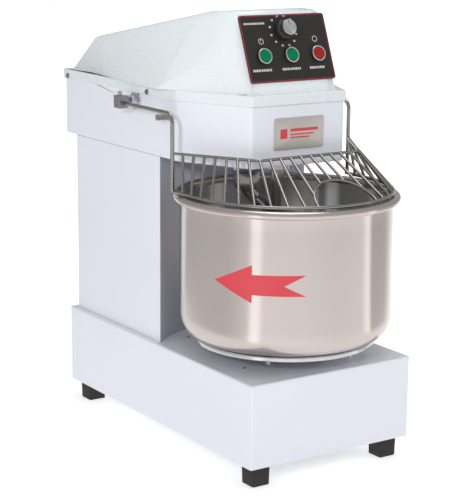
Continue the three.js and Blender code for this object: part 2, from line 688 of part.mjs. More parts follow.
// --- sprockets, pulleys, chains and belt ---------------------------------------------------------------------

/** Pitch radius of a chain sprocket. */
function pitchRadius(teeth) {
  return CHAIN_PITCH / 2 / Math.sin(Math.PI / teeth);
}

/** A sprocket about Z with pointed teeth and a bore. */
function sprocket(teeth, z, bore) {
  const pitch = pitchRadius(teeth);
  const outline = [];
  for (let i = 0; i < 2 * teeth; i++) {
    const radius = i % 2 ? pitch - 3.5 : pitch + 3.5;
    const angle = (i * Math.PI) / teeth;
    outline.push(new THREE.Vector2(radius * Math.cos(angle), radius * Math.sin(angle)));
  }
  return prism(outline, z - SPROCKET_THICK / 2, z + SPROCKET_THICK / 2, [[0, 0, bore]]);
}

/** Points on a circle from one angle to another, close enough together for the sag allowed in a loop. */
function wrap(centre, radius, from, to) {
  const steps = Math.ceil((to - from) / (2 * Math.acos(1 - LOOP_SAG / radius)));
  return Array.from({ length: steps + 1 }, (_, i) => {
    const angle = from + ((to - from) * i) / steps;
    return new THREE.Vector2(centre.x + radius * Math.cos(angle), centre.y + radius * Math.sin(angle));
  });
}

/** The outline of a loop pulled tight round two circles, as points. */
function loopOutline(a, radiusA, b, radiusB) {
  const along = Math.atan2(b.y - a.y, b.x - a.x);
  const lean = Math.acos((radiusA - radiusB) / a.distanceTo(b));
  return [
    ...wrap(a, radiusA, along + lean, along + 2 * Math.PI - lean),
    ...wrap(b, radiusB, along - lean, along + lean),
  ];
}

/** A closed band of the given thickness round two circles, between two heights. */
function band(name, a, radiusA, b, radiusB, thickness, z0, z1) {
  const shape = new THREE.Shape(loopOutline(a, radiusA + thickness, b, radiusB + thickness));
  shape.holes.push(new THREE.Path(loopOutline(a, radiusA, b, radiusB).reverse()));
  const settings = { depth: z1 - z0, bevelEnabled: false };
  const geometry = new THREE.ExtrudeGeometry(shape, settings).translate(0, 0, z0);
  return part(name, geometry, LOOKS.iron);
}

/** A roller chain round two sprockets, as a plain band just outside their teeth. */
function chain(name, a, teethA, b, teethB, z) {
  const outside = 4.2;
  const half = CHAIN_HEIGHT / 2;
  const radiusA = pitchRadius(teethA) + outside;
  const radiusB = pitchRadius(teethB) + outside;
  return band(name, a, radiusA, b, radiusB, CHAIN_THICK, z - half, z + half);
}

/** A grooved belt pulley about Z. */
function pulley(radius, bore) {
  const rim = radius + PULLEY_RIM;
  const floor = rim - GROOVE_DEPTH;
  const half = GROOVE_WIDTH / 2;
  const outer = half + 5;
  const profile = [
    [bore, BELT_Z - outer],
    [rim, BELT_Z - outer],
    [rim, BELT_Z - half],
    [floor, BELT_Z - half],
    [floor, BELT_Z + half],
    [rim, BELT_Z + half],
    [rim, BELT_Z + outer],
    [bore, BELT_Z + outer],
    [bore, BELT_Z - outer],
  ];
  return turned(profile, 28);
}

/** The chain and belt loops of the drive, each round its own pair of wheels. */
function loops() {
  const bowlAxis = new THREE.Vector2(0, BOWL_Y);
  const transferAxis = new THREE.Vector2(TRANSFER_X, TRANSFER_Y);
  const hookAxis = new THREE.Vector2(HOOK_X, HOOK_Y);
  const counterAxis = new THREE.Vector2(0, COUNTER_Y);
  const motorAxis = new THREE.Vector2(0, MOTOR_Y);
  const floor = PULLEY_RIM - GROOVE_DEPTH + BELT_SEAT;
  return [
    chain("bowl_chain", bowlAxis, TEETH.bowl, transferAxis, TEETH.pinion, BOWL_CHAIN_Z),
    chain("transfer_chain", hookAxis, TEETH.hookLower, transferAxis, TEETH.transferUpper, TRANSFER_CHAIN_Z),
    chain("hook_chain", hookAxis, TEETH.hookUpper, counterAxis, TEETH.counter, HOOK_CHAIN_Z),
    band(
      "v_belt", counterAxis, LARGE_PULLEY_RADIUS + floor, motorAxis, SMALL_PULLEY_RADIUS + floor,
      BELT_THICK, BELT_Z - BELT_WIDTH / 2, BELT_Z + BELT_WIDTH / 2,
    ),
  ];
}

/** The cast plate across the head, with a bearing boss for each shaft, from which the motor hangs. */
function drivePlate() {
  const [front, back] = DRIVE_PLATE_YS;
  const slab = box(-DRIVE_PLATE_HALF, DRIVE_PLATE_HALF, front, back, DRIVE_PLATE_Z, DRIVE_PLATE_TOP);
  const transferBoss = post(BEARING_RADIUS, DRIVE_PLATE_Z + 1, DRIVE_PLATE_TOP + 8, TRANSFER_X, TRANSFER_Y);
  const counterBoss = post(BEARING_RADIUS, DRIVE_PLATE_Z + 1, DRIVE_PLATE_TOP + 8, 0, COUNTER_Y);
  const bore = SHAFT_RADIUS + RUN;
  const bores = [
    post(bore, DRIVE_PLATE_Z - 1, DRIVE_PLATE_TOP + 20, TRANSFER_X, TRANSFER_Y),
    post(bore, DRIVE_PLATE_Z - 1, DRIVE_PLATE_TOP + 20, 0, COUNTER_Y),
    post(MOTOR_SHAFT_RADIUS + 4, DRIVE_PLATE_Z - 1, DRIVE_PLATE_TOP + 1, 0, MOTOR_Y),
  ];
  return part("drive_plate", cut(join(slab, transferBoss, counterBoss), ...bores), LOOKS.iron);
}

/** The transfer shaft's lower bearing, standing on the base inside the column. */
function transferBearing() {
  const seat = BASE_TOP + GAP;
  const geometry = ring(SHAFT_RADIUS + RUN, BEARING_RADIUS, seat, seat + 18);
  const mesh = part("transfer_bearing", geometry, LOOKS.iron);
  mesh.position.set(TRANSFER_X, TRANSFER_Y, 0);
  return mesh;
}

/** The totally enclosed motor, hung under the drive plate with its shaft up. */
function motorBody() {
  const top = DRIVE_PLATE_Z - GAP;
  const outline = [];
  for (let i = 0; i < 4 * MOTOR_FINS; i++) {
    const radius = i % 4 < 2 ? MOTOR_RADIUS : MOTOR_RADIUS - 5;
    const angle = (i * Math.PI) / (2 * MOTOR_FINS);
    outline.push(new THREE.Vector2(radius * Math.cos(angle), radius * Math.sin(angle)));
  }
  const finned = prism(outline, top - MOTOR_LENGTH, top);
  const cowl = post(MOTOR_RADIUS - 1, top - MOTOR_LENGTH - 36, top - MOTOR_LENGTH + 1);
  const bore = post(MOTOR_SHAFT_RADIUS + RUN, top - 90, top + 1);
  const mesh = part("motor_body", cut(join(finned, cowl), bore), LOOKS.iron);
  mesh.position.set(0, MOTOR_Y, 0);
  return mesh;
}

/** The enclosure for the contactors, on the drive plate beside the belt. */
function electricsBox() {
  return part("electrics_box", box(-140, -70, 200, 300, DRIVE_PLATE_TOP + GAP, DRIVE_PLATE_TOP + 70), LOOKS.dark);
}

/** The motor's rotor shaft with its small pulley shrunk on. */
function motorRotor() {
  const shaft = post(MOTOR_SHAFT_RADIUS, DRIVE_PLATE_Z - 86, BELT_Z + 16);
  const wheel = pulley(SMALL_PULLEY_RADIUS, MOTOR_SHAFT_RADIUS - 1);
  const mesh = part("motor_rotor", join(shaft, wheel), LOOKS.bright);
  mesh.position.set(0, MOTOR_Y, 0);
  return mesh;
}

/** The countershaft, with its sprocket in one piece, and its large pulley. */
function countershaft() {
  const group = new THREE.Group();
  group.position.set(0, COUNTER_Y, 0);
  const shaft = post(SHAFT_RADIUS, DRIVE_PLATE_Z, BELT_Z + 16);
  const wheel = sprocket(TEETH.counter, HOOK_CHAIN_Z, SHAFT_RADIUS - 1);
  group.add(part("countershaft", join(shaft, wheel), LOOKS.bright));
  group.add(part("counter_pulley", pulley(LARGE_PULLEY_RADIUS, SHAFT_RADIUS + GAP), LOOKS.iron));
  return group;
}

/** The long upright shaft, with its pinion in one piece, that takes the drive down to the bowl. */
function transferShaft() {
  const group = new THREE.Group();
  group.position.set(TRANSFER_X, TRANSFER_Y, 0);
  const shaft = post(SHAFT_RADIUS, BOWL_CHAIN_Z - 8, TRANSFER_CHAIN_Z + 10);
  const pinion = sprocket(TEETH.pinion, BOWL_CHAIN_Z, SHAFT_RADIUS - 1);
  group.add(part("transfer_shaft", join(shaft, pinion), LOOKS.bright));
  const wheel = sprocket(TEETH.transferUpper, TRANSFER_CHAIN_Z, SHAFT_RADIUS + GAP);
  group.add(part("transfer_sprocket", wheel, LOOKS.iron));
  return group;
}

/** The bowl with everything that turns with it. */
function bowlGroup() {
  const group = new THREE.Group();
  group.position.set(0, BOWL_Y, 0);
  const bore = BOWL_SHAFT_RADIUS + GAP;
  group.add(bowl(), turntable(), ...bowlBolts());
  group.add(part("bowl_sprocket", sprocket(TEETH.bowl, BOWL_CHAIN_Z, bore), LOOKS.iron));
  return group;
}

// --- hook, its spindle, and the breaker bar ------------------------------------------------------------------

/** The centre line of the hook: from the hub out to the spiral's radius, then down round the axis. */
class HookCurve extends THREE.Curve {
  getPoint(t, target = new THREE.Vector3()) {
    const sweep = THREE.MathUtils.smoothstep(t, 0.02, 0.3);
    const turnIn = 1 - 0.12 * THREE.MathUtils.smoothstep(t, 0.82, 1);
    const radius = HOOK_SPIRAL_RADIUS * sweep * turnIn;
    const angle = 2 * Math.PI * HOOK_TURNS * Math.max(0, t - 0.12);
    const start = HOOK_HUB_BOTTOM + 6;
    const z = start + (HOOK_TIP_Z + HOOK_ROD_RADIUS - start) * t;
    return target.set(radius * Math.cos(angle), -radius * Math.sin(angle), z);
  }
}

/** The spiral hook with the shaft that drives it and its double sprocket. */
function hookGroup() {
  const group = new THREE.Group();
  group.position.set(HOOK_X, HOOK_Y, 0);
  const hub = post(HOOK_HUB_RADIUS, HOOK_HUB_BOTTOM, HOOK_HUB_TOP);
  const spiral = wire(new HookCurve(), HOOK_ROD_RADIUS, 36, 8);
  group.add(part("spiral_hook", join(hub, spiral), LOOKS.steel));
  const shaft = post(HOOK_SHAFT_RADIUS, HOOK_HUB_TOP + GAP, HOOK_CHAIN_Z + 12);
  group.add(part("hook_shaft", shaft, LOOKS.bright));
  const bore = HOOK_SHAFT_RADIUS + GAP;
  const lower = sprocket(TEETH.hookLower, TRANSFER_CHAIN_Z, bore);
  const upper = sprocket(TEETH.hookUpper, HOOK_CHAIN_Z, bore);
  const sleeve = ring(bore, HOOK_SHAFT_RADIUS + 6, TRANSFER_CHAIN_Z, HOOK_CHAIN_Z);
  group.add(part("hook_double_sprocket", join(lower, sleeve, upper), LOOKS.iron));
  return group;
}

/** The hook's bearing housing: a dark collar under the head and a body through its floor. */
function spindleHousing() {
  const bore = HOOK_SHAFT_RADIUS + RUN;
  const under = HEAD_UNDERSIDE - GAP;
  const top = HEAD_UNDERSIDE + 20;
  const profile = [
    [bore, under - COLLAR_DROP],
    [COLLAR_RADIUS - 3, under - COLLAR_DROP],
    [COLLAR_RADIUS, under - COLLAR_DROP + 3],
    [COLLAR_RADIUS, under],
    [SPINDLE_BODY_RADIUS, under],
    [SPINDLE_BODY_RADIUS, top],
    [bore, top],
    [bore, under - COLLAR_DROP],
  ];
  const mesh = part("spindle_housing", turned(profile, 24), LOOKS.dark);
  mesh.position.set(HOOK_X, HOOK_Y, 0);
  return mesh;
}

/** The fixed breaker bar in the middle of the bowl, with its seat under the head. */
function breakerBar() {
  const under = HEAD_UNDERSIDE - GAP;
  const profile = [
    [0, BAR_END_Z],
    [BAR_RADIUS - 2, BAR_END_Z],
    [BAR_RADIUS, BAR_END_Z + 2],
    [BAR_RADIUS, under - BAR_FLANGE_THICK],
    [BAR_FLANGE_RADIUS, under - BAR_FLANGE_THICK],
    [BAR_FLANGE_RADIUS, under],
    [BAR_RADIUS, under],
    [BAR_RADIUS, HEAD_UNDERSIDE + 14],
    [0, HEAD_UNDERSIDE + 14],
  ];
  const mesh = part("breaker_bar", turned(profile, 16), LOOKS.steel);
  mesh.position.set(BAR_X, BAR_Y, 0);
  return mesh;
}

// --- bowl guard ---------------------------------------------------------------------------------------------

/** A point on the guard's lower ring, by distance along it from the front middle: an arc, then a straight leg. */
function ringPoint(distance) {
  const side = Math.sign(distance) || 1;
  const quarter = (GUARD_RADIUS * Math.PI) / 2;
  const along = Math.abs(distance);
  const angle = Math.min(along, quarter) / GUARD_RADIUS;
  const leg = Math.max(0, along - quarter);
  const x = side * GUARD_RADIUS * Math.sin(angle);
  return new THREE.Vector3(x, BOWL_Y - GUARD_RADIUS * Math.cos(angle) + leg, GUARD_RING_Z);
}

/** The distance along the ring from the front middle to the end of either leg. */
function ringEnd() {
  return (GUARD_RADIUS * Math.PI) / 2 + GUARD_ARM_Y - BOWL_Y;
}

/** The lower ring as one bent wire. */
class RingCurve extends THREE.Curve {
  getPoint(t, target = new THREE.Vector3()) {
    return target.copy(ringPoint((2 * t - 1) * ringEnd()));
  }
}

/** The arch of the feeding opening, on the surface between ring and rail. */
class ArchCurve extends THREE.Curve {
  getPoint(t, target = new THREE.Vector3()) {
    const angle = Math.PI * t;
    const x = -ARCH_HALF * Math.cos(angle);
    const rise = ARCH_RISE * Math.sin(angle);
    const low = ringPoint(GUARD_RADIUS * Math.asin(x / GUARD_RADIUS));
    return target.lerpVectors(low, new THREE.Vector3(x, GUARD_RAIL_Y, GUARD_RAIL_Z), rise);
  }
}

/** Where a bar from the rail (top) to the ring (foot) meets the arch, or its foot when it passes beside it. */
function barEnd(top, foot) {
  if (Math.abs(foot.x) >= ARCH_HALF) return foot;
  const steps = 200;
  for (let i = 0; i <= steps; i++) {
    const t = i / steps;
    const x = THREE.MathUtils.lerp(top.x, foot.x, t);
    if ((x / ARCH_HALF) ** 2 + ((1 - t) / ARCH_RISE) ** 2 <= 1) return top.clone().lerp(foot, t);
  }
  return foot;
}

/** The bars of the guard, evenly spaced along the rail above and the ring below. */
function guardBars() {
  const corner = ringEnd() * (FRONT_SPACES / (FRONT_SPACES + 2 * SIDE_SPACES));
  const bars = [];
  for (let i = 0; i <= FRONT_SPACES; i++) {
    const share = (2 * i) / FRONT_SPACES - 1;
    const top = new THREE.Vector3(share * GUARD_RAIL_HALF, GUARD_RAIL_Y, GUARD_RAIL_Z);
    const foot = ringPoint(share * corner);
    bars.push(rod(top, barEnd(top, foot), BAR_WIRE));
  }
  for (const side of [-1, 1]) {
    for (let i = 1; i < SIDE_SPACES; i++) {
      const share = i / SIDE_SPACES;
      const top = new THREE.Vector3(
        side * THREE.MathUtils.lerp(GUARD_RAIL_HALF, GUARD_ARM_X, share),
        THREE.MathUtils.lerp(GUARD_RAIL_Y, GUARD_ARM_Y, share),
        GUARD_RAIL_Z,
      );
      bars.push(rod(top, ringPoint(side * THREE.MathUtils.lerp(corner, ringEnd(), share)), BAR_WIRE));
    }
  }
  return bars;
}

/** The level stretch of an arm, along Y between two places. */
function crosswise(x, y0, y1, z) {
  const geometry = new THREE.CylinderGeometry(ARM_WIRE, ARM_WIRE, Math.abs(y1 - y0), 8);
  return geometry.translate(x, (y0 + y1) / 2, z);
}

/** One side arm: level from the clamp block, a round bend, then straight down to the ring. */
function guardArm(side) {
  const x = side * GUARD_ARM_X;
  const r = ARM_BEND_RADIUS;
  const bendY = GUARD_ARM_Y + r;
  const bendZ = GUARD_ARM_Z - r;
  const levelEnd = new THREE.Vector3(x, bendY, GUARD_ARM_Z);
  const corner = new THREE.Vector3(x, GUARD_ARM_Y, GUARD_ARM_Z);
  const dropStart = new THREE.Vector3(x, GUARD_ARM_Y, bendZ);
  const insideBlock = PIVOT_Y - BLOCK_LENGTH / 2 + 5;
  const bend = wire(new THREE.QuadraticBezierCurve3(levelEnd, corner, dropStart), ARM_WIRE, 5, 8);
  const level = crosswise(x, insideBlock, bendY - 0.5, GUARD_ARM_Z);
  const drop = post(ARM_WIRE, GUARD_RING_Z, bendZ + 0.5, x, GUARD_ARM_Y, 8);
  return [level, bend, drop];
}

/** The welded wire guard: ring, rail, bars, feeding arch and both arms. */
function guardGrille() {
  const railPoints = [
    [-GUARD_ARM_X, GUARD_ARM_Y],
    [-GUARD_RAIL_HALF, GUARD_RAIL_Y],
    [GUARD_RAIL_HALF, GUARD_RAIL_Y],
    [GUARD_ARM_X, GUARD_ARM_Y],
  ].map(([x, y]) => new THREE.Vector3(x, y, GUARD_RAIL_Z));
  const rails = railPoints.slice(1).map((end, i) => rod(railPoints[i], end, RAIL_WIRE));
  const corners = railPoints.slice(1, 3).map(({ x, y, z }) => {
    return new THREE.SphereGeometry(RAIL_WIRE * 1.1, 10, 6).translate(x, y, z);
  });
  const ringWire = wire(new RingCurve(), RING_WIRE, 36, 8);
  const arch = wire(new ArchCurve(), BAR_WIRE, 14);
  const arms = [-1, 1].flatMap(guardArm);
  const whole = join(ringWire, arch, ...arms, ...rails, ...corners, ...guardBars());
  return part("guard_grille", whole, LOOKS.bright);
}

/** One clamp block on its pivot pin, bored for the arm, with the set screw on top. */
function clampBlock(side, name) {
  const block = box(
    Math.min(side * BLOCK_INNER_X, side * BLOCK_OUTER_X), Math.max(side * BLOCK_INNER_X, side * BLOCK_OUTER_X),
    PIVOT_Y - BLOCK_LENGTH / 2, PIVOT_Y + BLOCK_LENGTH / 2, PIVOT_Z - BLOCK_HEIGHT / 2, PIVOT_Z + BLOCK_HEIGHT / 2,
  );
  const middle = (BLOCK_INNER_X + BLOCK_OUTER_X) / 2;
  const pin = crossPost(PIN_RADIUS, side * PIN_INNER_X, side * middle, PIVOT_Y, PIVOT_Z);
  const top = PIVOT_Z + BLOCK_HEIGHT / 2;
  const screw = post(SET_SCREW_RADIUS, top - 4, top + SET_SCREW_RISE, side * middle, PIVOT_Y + 3, 12);
  const bore = new THREE.CylinderGeometry(ARM_WIRE + GAP, ARM_WIRE + GAP, BLOCK_LENGTH / 2, 16);
  bore.translate(side * GUARD_ARM_X, PIVOT_Y - BLOCK_LENGTH / 2, GUARD_ARM_Z);
  return part(name, cut(join(block, pin, screw), bore), LOOKS.bright);
}

/** One bushing flange on the head's side wall, in which the pivot pin turns. */
function guardFlange(side, name) {
  const wall = side * (HEAD_WIDTH / 2 + GAP);
  const disc = crossPost(FLANGE_RADIUS, wall, side * FLANGE_OUTER_X, PIVOT_Y, PIVOT_Z);
  const bore = crossPost(PIN_RADIUS + RUN, wall - side * 5, side * (FLANGE_OUTER_X + 5), PIVOT_Y, PIVOT_Z);
  return part(name, cut(disc, bore), LOOKS.bright);
}

/** One stop peg under a guard arm. */
function stopPeg(side, name) {
  const wall = side * (HEAD_WIDTH / 2 + GAP);
  return part(name, crossPost(PEG_RADIUS, wall, side * PEG_END_X, PEG_Y, PEG_Z), LOOKS.bright);
}

/** The safety switch beside the inner end of the right-hand pivot pin. */
function guardSwitch() {
  const outer = PIN_INNER_X - 2;
  return part("guard_switch", box(outer - 18, outer, PIVOT_Y - 14, PIVOT_Y + 14, PIVOT_Z - 20, PIVOT_Z), LOOKS.dark);
}

// --- the whole machine --------------------------------------------------------------------------------------

/** The mixer with its origin moved to the bottom centre of its outline. */
function mixer() {
  const machine = new THREE.Group();
  machine.position.y = ORIGIN_SHIFT_Y;
  const panel = panelFrame();
  machine.add(baseShell(), ...feet(), column(), backPanel(), cableGland());
  machine.add(headBody(), topCover(panel.matrix), ...coverScrews(), namePlate());
  machine.add(bowlHousing(), spindleHousing(), breakerBar(), drivePlate(), ...loops());
  machine.add(transferBearing(), motorBody(), electricsBox(), guardSwitch());
  machine.add(bowlGroup(), hookGroup(), transferShaft(), countershaft(), motorRotor());
  machine.add(guardGrille(), clampBlock(-1, "clamp_block_l"), clampBlock(1, "clamp_block_r"));
  machine.add(guardFlange(-1, "guard_flange_l"), guardFlange(1, "guard_flange_r"));
  machine.add(stopPeg(-1, "stop_peg_l"), stopPeg(1, "stop_peg_r"));
  const caps = [LOOKS.green, LOOKS.green, LOOKS.red];
  panel.add(controlPanel(), timerBody(), timerKnob());
  panel.add(...buttonXs().map((x, i) => bezel(i, x)));
  panel.add(...buttonXs().map((x, i) => button(i, x, caps[i])));
  machine.add(panel);
  const root = new THREE.Group();
  root.add(machine);
  return root;
}

export default mixer();
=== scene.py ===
"""Looks of an upright spiral dough mixer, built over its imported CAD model.

Every size is in millimetres in the machine's own frame: X across, the front at -Y, Z up from the floor and Y
zero at the middle of the base. place() turns such points into the model's frame in metres.
"""
import logging
import math
from dataclasses import dataclass, field
from enum import Enum
from typing import Callable, Optional, Sequence, Union

import bmesh
import bpy
import numpy as np
from mathutils import Matrix


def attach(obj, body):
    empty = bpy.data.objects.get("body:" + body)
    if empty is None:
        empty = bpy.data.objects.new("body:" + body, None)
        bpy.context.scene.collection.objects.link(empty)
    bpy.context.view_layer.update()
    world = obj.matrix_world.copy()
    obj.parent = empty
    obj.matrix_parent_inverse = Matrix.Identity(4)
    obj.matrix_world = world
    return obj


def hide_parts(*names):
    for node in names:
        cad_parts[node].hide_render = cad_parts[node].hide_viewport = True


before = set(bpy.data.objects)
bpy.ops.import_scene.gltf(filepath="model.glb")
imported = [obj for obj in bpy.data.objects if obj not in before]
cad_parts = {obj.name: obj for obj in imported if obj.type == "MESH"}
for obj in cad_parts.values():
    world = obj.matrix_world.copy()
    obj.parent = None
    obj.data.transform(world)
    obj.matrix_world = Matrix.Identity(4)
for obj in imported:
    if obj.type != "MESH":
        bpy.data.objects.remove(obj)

Array = np.ndarray
Material = bpy.types.Material
Socket = bpy.types.NodeSocket
Setting = Union[float, int, bool, str, Sequence[float]]

MM = 0.001
SHIFT_Y = 11.9  # from the base's middle to the middle of the whole outline
LOG = logging.getLogger("dough_mixer")

BASE_TOP = 178.7
HEAD_UNDERSIDE = 506.5
LIP_TOP = 625.7
BOWL_Y = -164.4
SEAM = 0.3  # gap between pieces that rest on each other
FLAT_DEGREES = 0.7  # neighbours that turn by less than this lie in one flat wall
CURVED_DEGREES = 12.0  # neighbours that turn by less than this belong to one rounded surface
ROUNDING_STEPS = 8  # flat strips across a rounded edge
WHITE = (1, 1, 1, 1)


# --- numbers ------------------------------------------------------------------------------------------------


def linear(hex_colour: str) -> tuple[float, float, float, float]:
    """Turns an sRGB hex colour into the linear values that a shader takes.

    Args:
        hex_colour: the colour as "#RRGGBB".

    Returns:
        Linear red, green and blue, and an alpha of 1.
    """
    srgb = np.array([int(hex_colour[i : i + 2], 16) for i in (1, 3, 5)]) / 255
    values = np.where(srgb <= 0.04045, srgb / 12.92, ((srgb + 0.055) / 1.055) ** 2.4)
    return (*values.tolist(), 1.0)


def place(points: Array) -> Array:
    """Turns machine millimetres into the model's metres.

    Args:
        points: an array whose last axis is x, y and z.

    Returns:
        The points shifted along Y and scaled.
    """
    return (np.asarray(points, float) + np.array([0.0, SHIFT_Y, 0.0])) * MM


def smoothstep(value: Array, low: float, high: float) -> Array:
    """The S curve 3t^2 - 2t^3, where t runs from 0 at low to 1 at high."""
    t = np.clip((value - low) / (high - low), 0, 1)
    return t * t * (3 - 2 * t)


def unit(vectors: Array) -> Array:
    """Each vector divided by its own length."""
    return vectors / np.linalg.norm(vectors, axis=-1, keepdims=True)


def near(values: Array, target: Union[float, Array], tolerance: float = 0.1) -> Array:
    """Whether values lie closer to a target than a tolerance."""
    return np.abs(values - target) < tolerance


def rise(ends: Array) -> Array:
    """How far edges climb: the difference in height of their two ends, of shape (2, edges, 3)."""
    return np.abs(ends[0, :, 2] - ends[1, :, 2])


def length(ends: Array) -> Array:
    """How long edges are, from their two ends, of shape (2, edges, 3)."""
    return np.linalg.norm(ends[0] - ends[1], axis=1)


def frame_of(right: Array, up: Array, back: Array, place_of: Array) -> Matrix:
    """The matrix of a camera or light from its three directions and its place.

    Args:
        right: where its X points.
        up: where its Y points.
        back: where its Z points.
        place_of: its place in metres.

    Returns:
        The 4 by 4 matrix.
    """
    matrix = np.eye(4)
    matrix[:3] = np.stack([right, up, back, place_of], 1)
    return Matrix(matrix.tolist())


def on_side(side: int, x: float, y: float, z: float) -> Matrix:
    """The matrix that turns a piece's Z out of the left (-1) or right (1) wall and moves it there."""
    return Matrix.Translation((side * x, y, z)) @ Matrix.Rotation(side * math.pi / 2, 4, "Y")


# --- surfaces -----------------------------------------------------------------------------------------------


def grid_faces(rows: int, cols: int, close_cols: bool, first: int) -> Array:
    """Quads between neighbours of a grid of points, facing along (next column) x (next row).

    Args:
        rows: how many rows of points there are.
        cols: how many points each row has.
        close_cols: whether each row is a closed loop.
        first: index of the grid's first point.

    Returns:
        An array of four point indices a face.
    """
    i, j = np.meshgrid(np.arange(rows - 1), np.arange(cols if close_cols else cols - 1), indexing="ij")
    here, above, beside = i * cols, (i + 1) * cols, (j + 1) % cols
    corners = [here + j, here + beside, above + beside, above + j]
    return np.stack(corners, -1).reshape(-1, 4) + first


@dataclass
class Surface:
    """Points and quads of a piece that is still being put together."""

    points: Array = field(default_factory=lambda: np.zeros((0, 3)))
    faces: Array = field(default_factory=lambda: np.zeros((0, 4), int))
    uvs: Array = field(default_factory=lambda: np.zeros((0, 2)))

    def add(self, grid: Array, close_cols: bool = False) -> "Surface":
        """Adds a grid of points as a sheet of quads; its UV is the distance along each grid line in mm.

        Args:
            grid: points of shape (rows, cols, 3).
            close_cols: whether each row is a closed loop.

        Returns:
            This surface, so that calls can be chained.
        """
        rows, cols, _ = grid.shape
        faces = grid_faces(rows, cols, close_cols, len(self.points))
        across = np.linalg.norm(np.diff(grid, axis=1, prepend=grid[:, :1]), axis=2).max(0).cumsum()
        along = np.linalg.norm(np.diff(grid, axis=0, prepend=grid[:1]), axis=2).max(1).cumsum()
        u, v = np.meshgrid(across, along)
        self.points = np.concatenate([self.points, grid.reshape(-1, 3)])
        self.faces = np.concatenate([self.faces, faces])
        self.uvs = np.concatenate([self.uvs, np.stack([u, v], -1).reshape(-1, 2)])
        return self

    def turn(self, profile: Sequence[Sequence[float]], steps: int,
             centre: Sequence[float] = (0, 0)) -> "Surface":
        """Adds a profile of (radius, height) turned about an upright axis, as turned() gives it."""
        return self.add(turned(profile, centre, steps), close_cols=True)

    def rod(self, path: Array, radius: float, reference: Array, sides: int = 14) -> "Surface":
        """Adds a round bar along a path, as tube() gives it."""
        return self.add(tube(path, radius, reference, sides), close_cols=True)


def turned(profile: Sequence[Sequence[float]], centre: Sequence[float], steps: int, flutes: int = 0,
           flute_depth: Optional[Array] = None) -> Array:
    """A profile of (radius, height) turned about an upright axis: x = r cos a, y = r sin a, z = h.

    Args:
        profile: radius and height pairs, running up the outside.
        centre: x and y of the axis.
        steps: how many points there are round the axis.
        flutes: how many waves the radius makes round the axis.
        flute_depth: how deep the waves are at each profile point.

    Returns:
        Points of shape (profile, steps, 3).
    """
    r, h = np.asarray(profile, float).T
    a = np.arange(steps) * 2 * np.pi / steps
    radius = np.repeat(r[:, None], steps, 1)
    if flutes and flute_depth is not None:
        radius = radius - flute_depth[:, None] * (0.5 + 0.5 * np.cos(flutes * a)) ** 2
    x = centre[0] + radius * np.cos(a)
    y = centre[1] + radius * np.sin(a)
    return np.stack([x, y, np.repeat(h[:, None], steps, 1)], -1)


def bend(r: float, z: float, radius: float, start: float, end: float, steps: int = 8) -> list[list[float]]:
    """Profile points on an arc about (r, z), from one angle to another in degrees."""
    a = np.radians(np.linspace(start, end, steps))
    return np.stack([r + radius * np.cos(a), z + radius * np.sin(a)], -1).tolist()


def tube(path: Array, radius: float, reference: Array, sides: int) -> Array:
    """A round bar along a path: c + r (n cos a + b sin a), closed by a point at both ends.

    Args:
        path: centre points of shape (n, 3).
        radius: the bar's radius.
        reference: one vector, or one for each point, never along the path, from which n is taken.
        sides: how many points there are round the bar.

    Returns:
        Points of shape (n + 2, sides, 3).
    """
    tangent = unit(np.gradient(path, axis=0))
    reference = np.broadcast_to(reference, path.shape)
    normal = unit(reference - (reference * tangent).sum(1, keepdims=True) * tangent)
    binormal = np.cross(tangent, normal)
    a = np.arange(sides) * 2 * np.pi / sides
    rim = normal[:, None] * np.cos(a)[None, :, None] + binormal[:, None] * np.sin(a)[None, :, None]
    body = path[:, None] + radius * rim
    first = np.repeat(path[:1, None], sides, 1)
    last = np.repeat(path[-1:, None], sides, 1)
    return np.concatenate([first, body, last])


def rectangle(half_x: float, half_y: float, x: float = 0.0, y: float = 0.0) -> list[tuple[float, float]]:
    """The corners of a rectangle about a middle, anticlockwise."""
    left, right, low, high = x - half_x, x + half_x, y - half_y, y + half_y
    return [(left, low), (right, low), (right, high), (left, high)]


def outline(corners: Sequence[Sequence[float]], radii: Sequence[float],
            steps: int = 7) -> tuple[Array, Array]:
    """A closed anticlockwise polygon with a round arc at each corner: centre + radius * turning normal.

    Args:
        corners: x and y of each corner.
        radii: the arc's radius at each corner.
        steps: points on each arc.

    Returns:
        The points and their outward unit normals.
    """
    p = np.asarray(corners, float)
    before, after = unit(p - np.roll(p, 1, 0)), unit(np.roll(p, -1, 0) - p)
    n0 = np.stack([before[:, 1], -before[:, 0]], -1)
    n1 = np.stack([after[:, 1], -after[:, 0]], -1)
    middle = unit(n0 + n1)
    centre = p - middle * (np.asarray(radii) / (middle * n0).sum(1))[:, None]
    t = np.linspace(0, 1, steps)[None, :, None]
    turn = np.arccos(np.clip((n0 * n1).sum(1), -1, 1))[:, None, None]
    normals = (np.sin((1 - t) * turn) * n0[:, None] + np.sin(t * turn) * n1[:, None]) / np.sin(turn)
    points = centre[:, None] + np.asarray(radii)[:, None, None] * normals
    return points.reshape(-1, 2), unit(normals.reshape(-1, 2))


def loft(points: Array, normals: Array, levels: Sequence[Sequence[float]], closed_ends: bool = True) -> Array:
    """A plan outline carried up through levels of (inset, height); a closed end shrinks to its middle.

    Args:
        points: plan points of shape (n, 2).
        normals: their outward normals.
        levels: inset and height pairs, bottom first.
        closed_ends: whether a flat cap closes each end.

    Returns:
        Points of shape (levels, n, 3).
    """
    inset, height = np.asarray(levels, float).T
    plan = points[None] - normals[None] * inset[:, None, None]
    z = np.repeat(height[:, None, None], len(points), 1)
    walls = np.concatenate([plan, z], -1)
    if not closed_ends:
        return walls
    low = np.broadcast_to(walls[0].mean(0), walls[0].shape)[None]
    high = np.broadcast_to(walls[-1].mean(0), walls[0].shape)[None]
    return np.concatenate([low, walls, high])


# --- pieces -------------------------------------------------------------------------------------------------


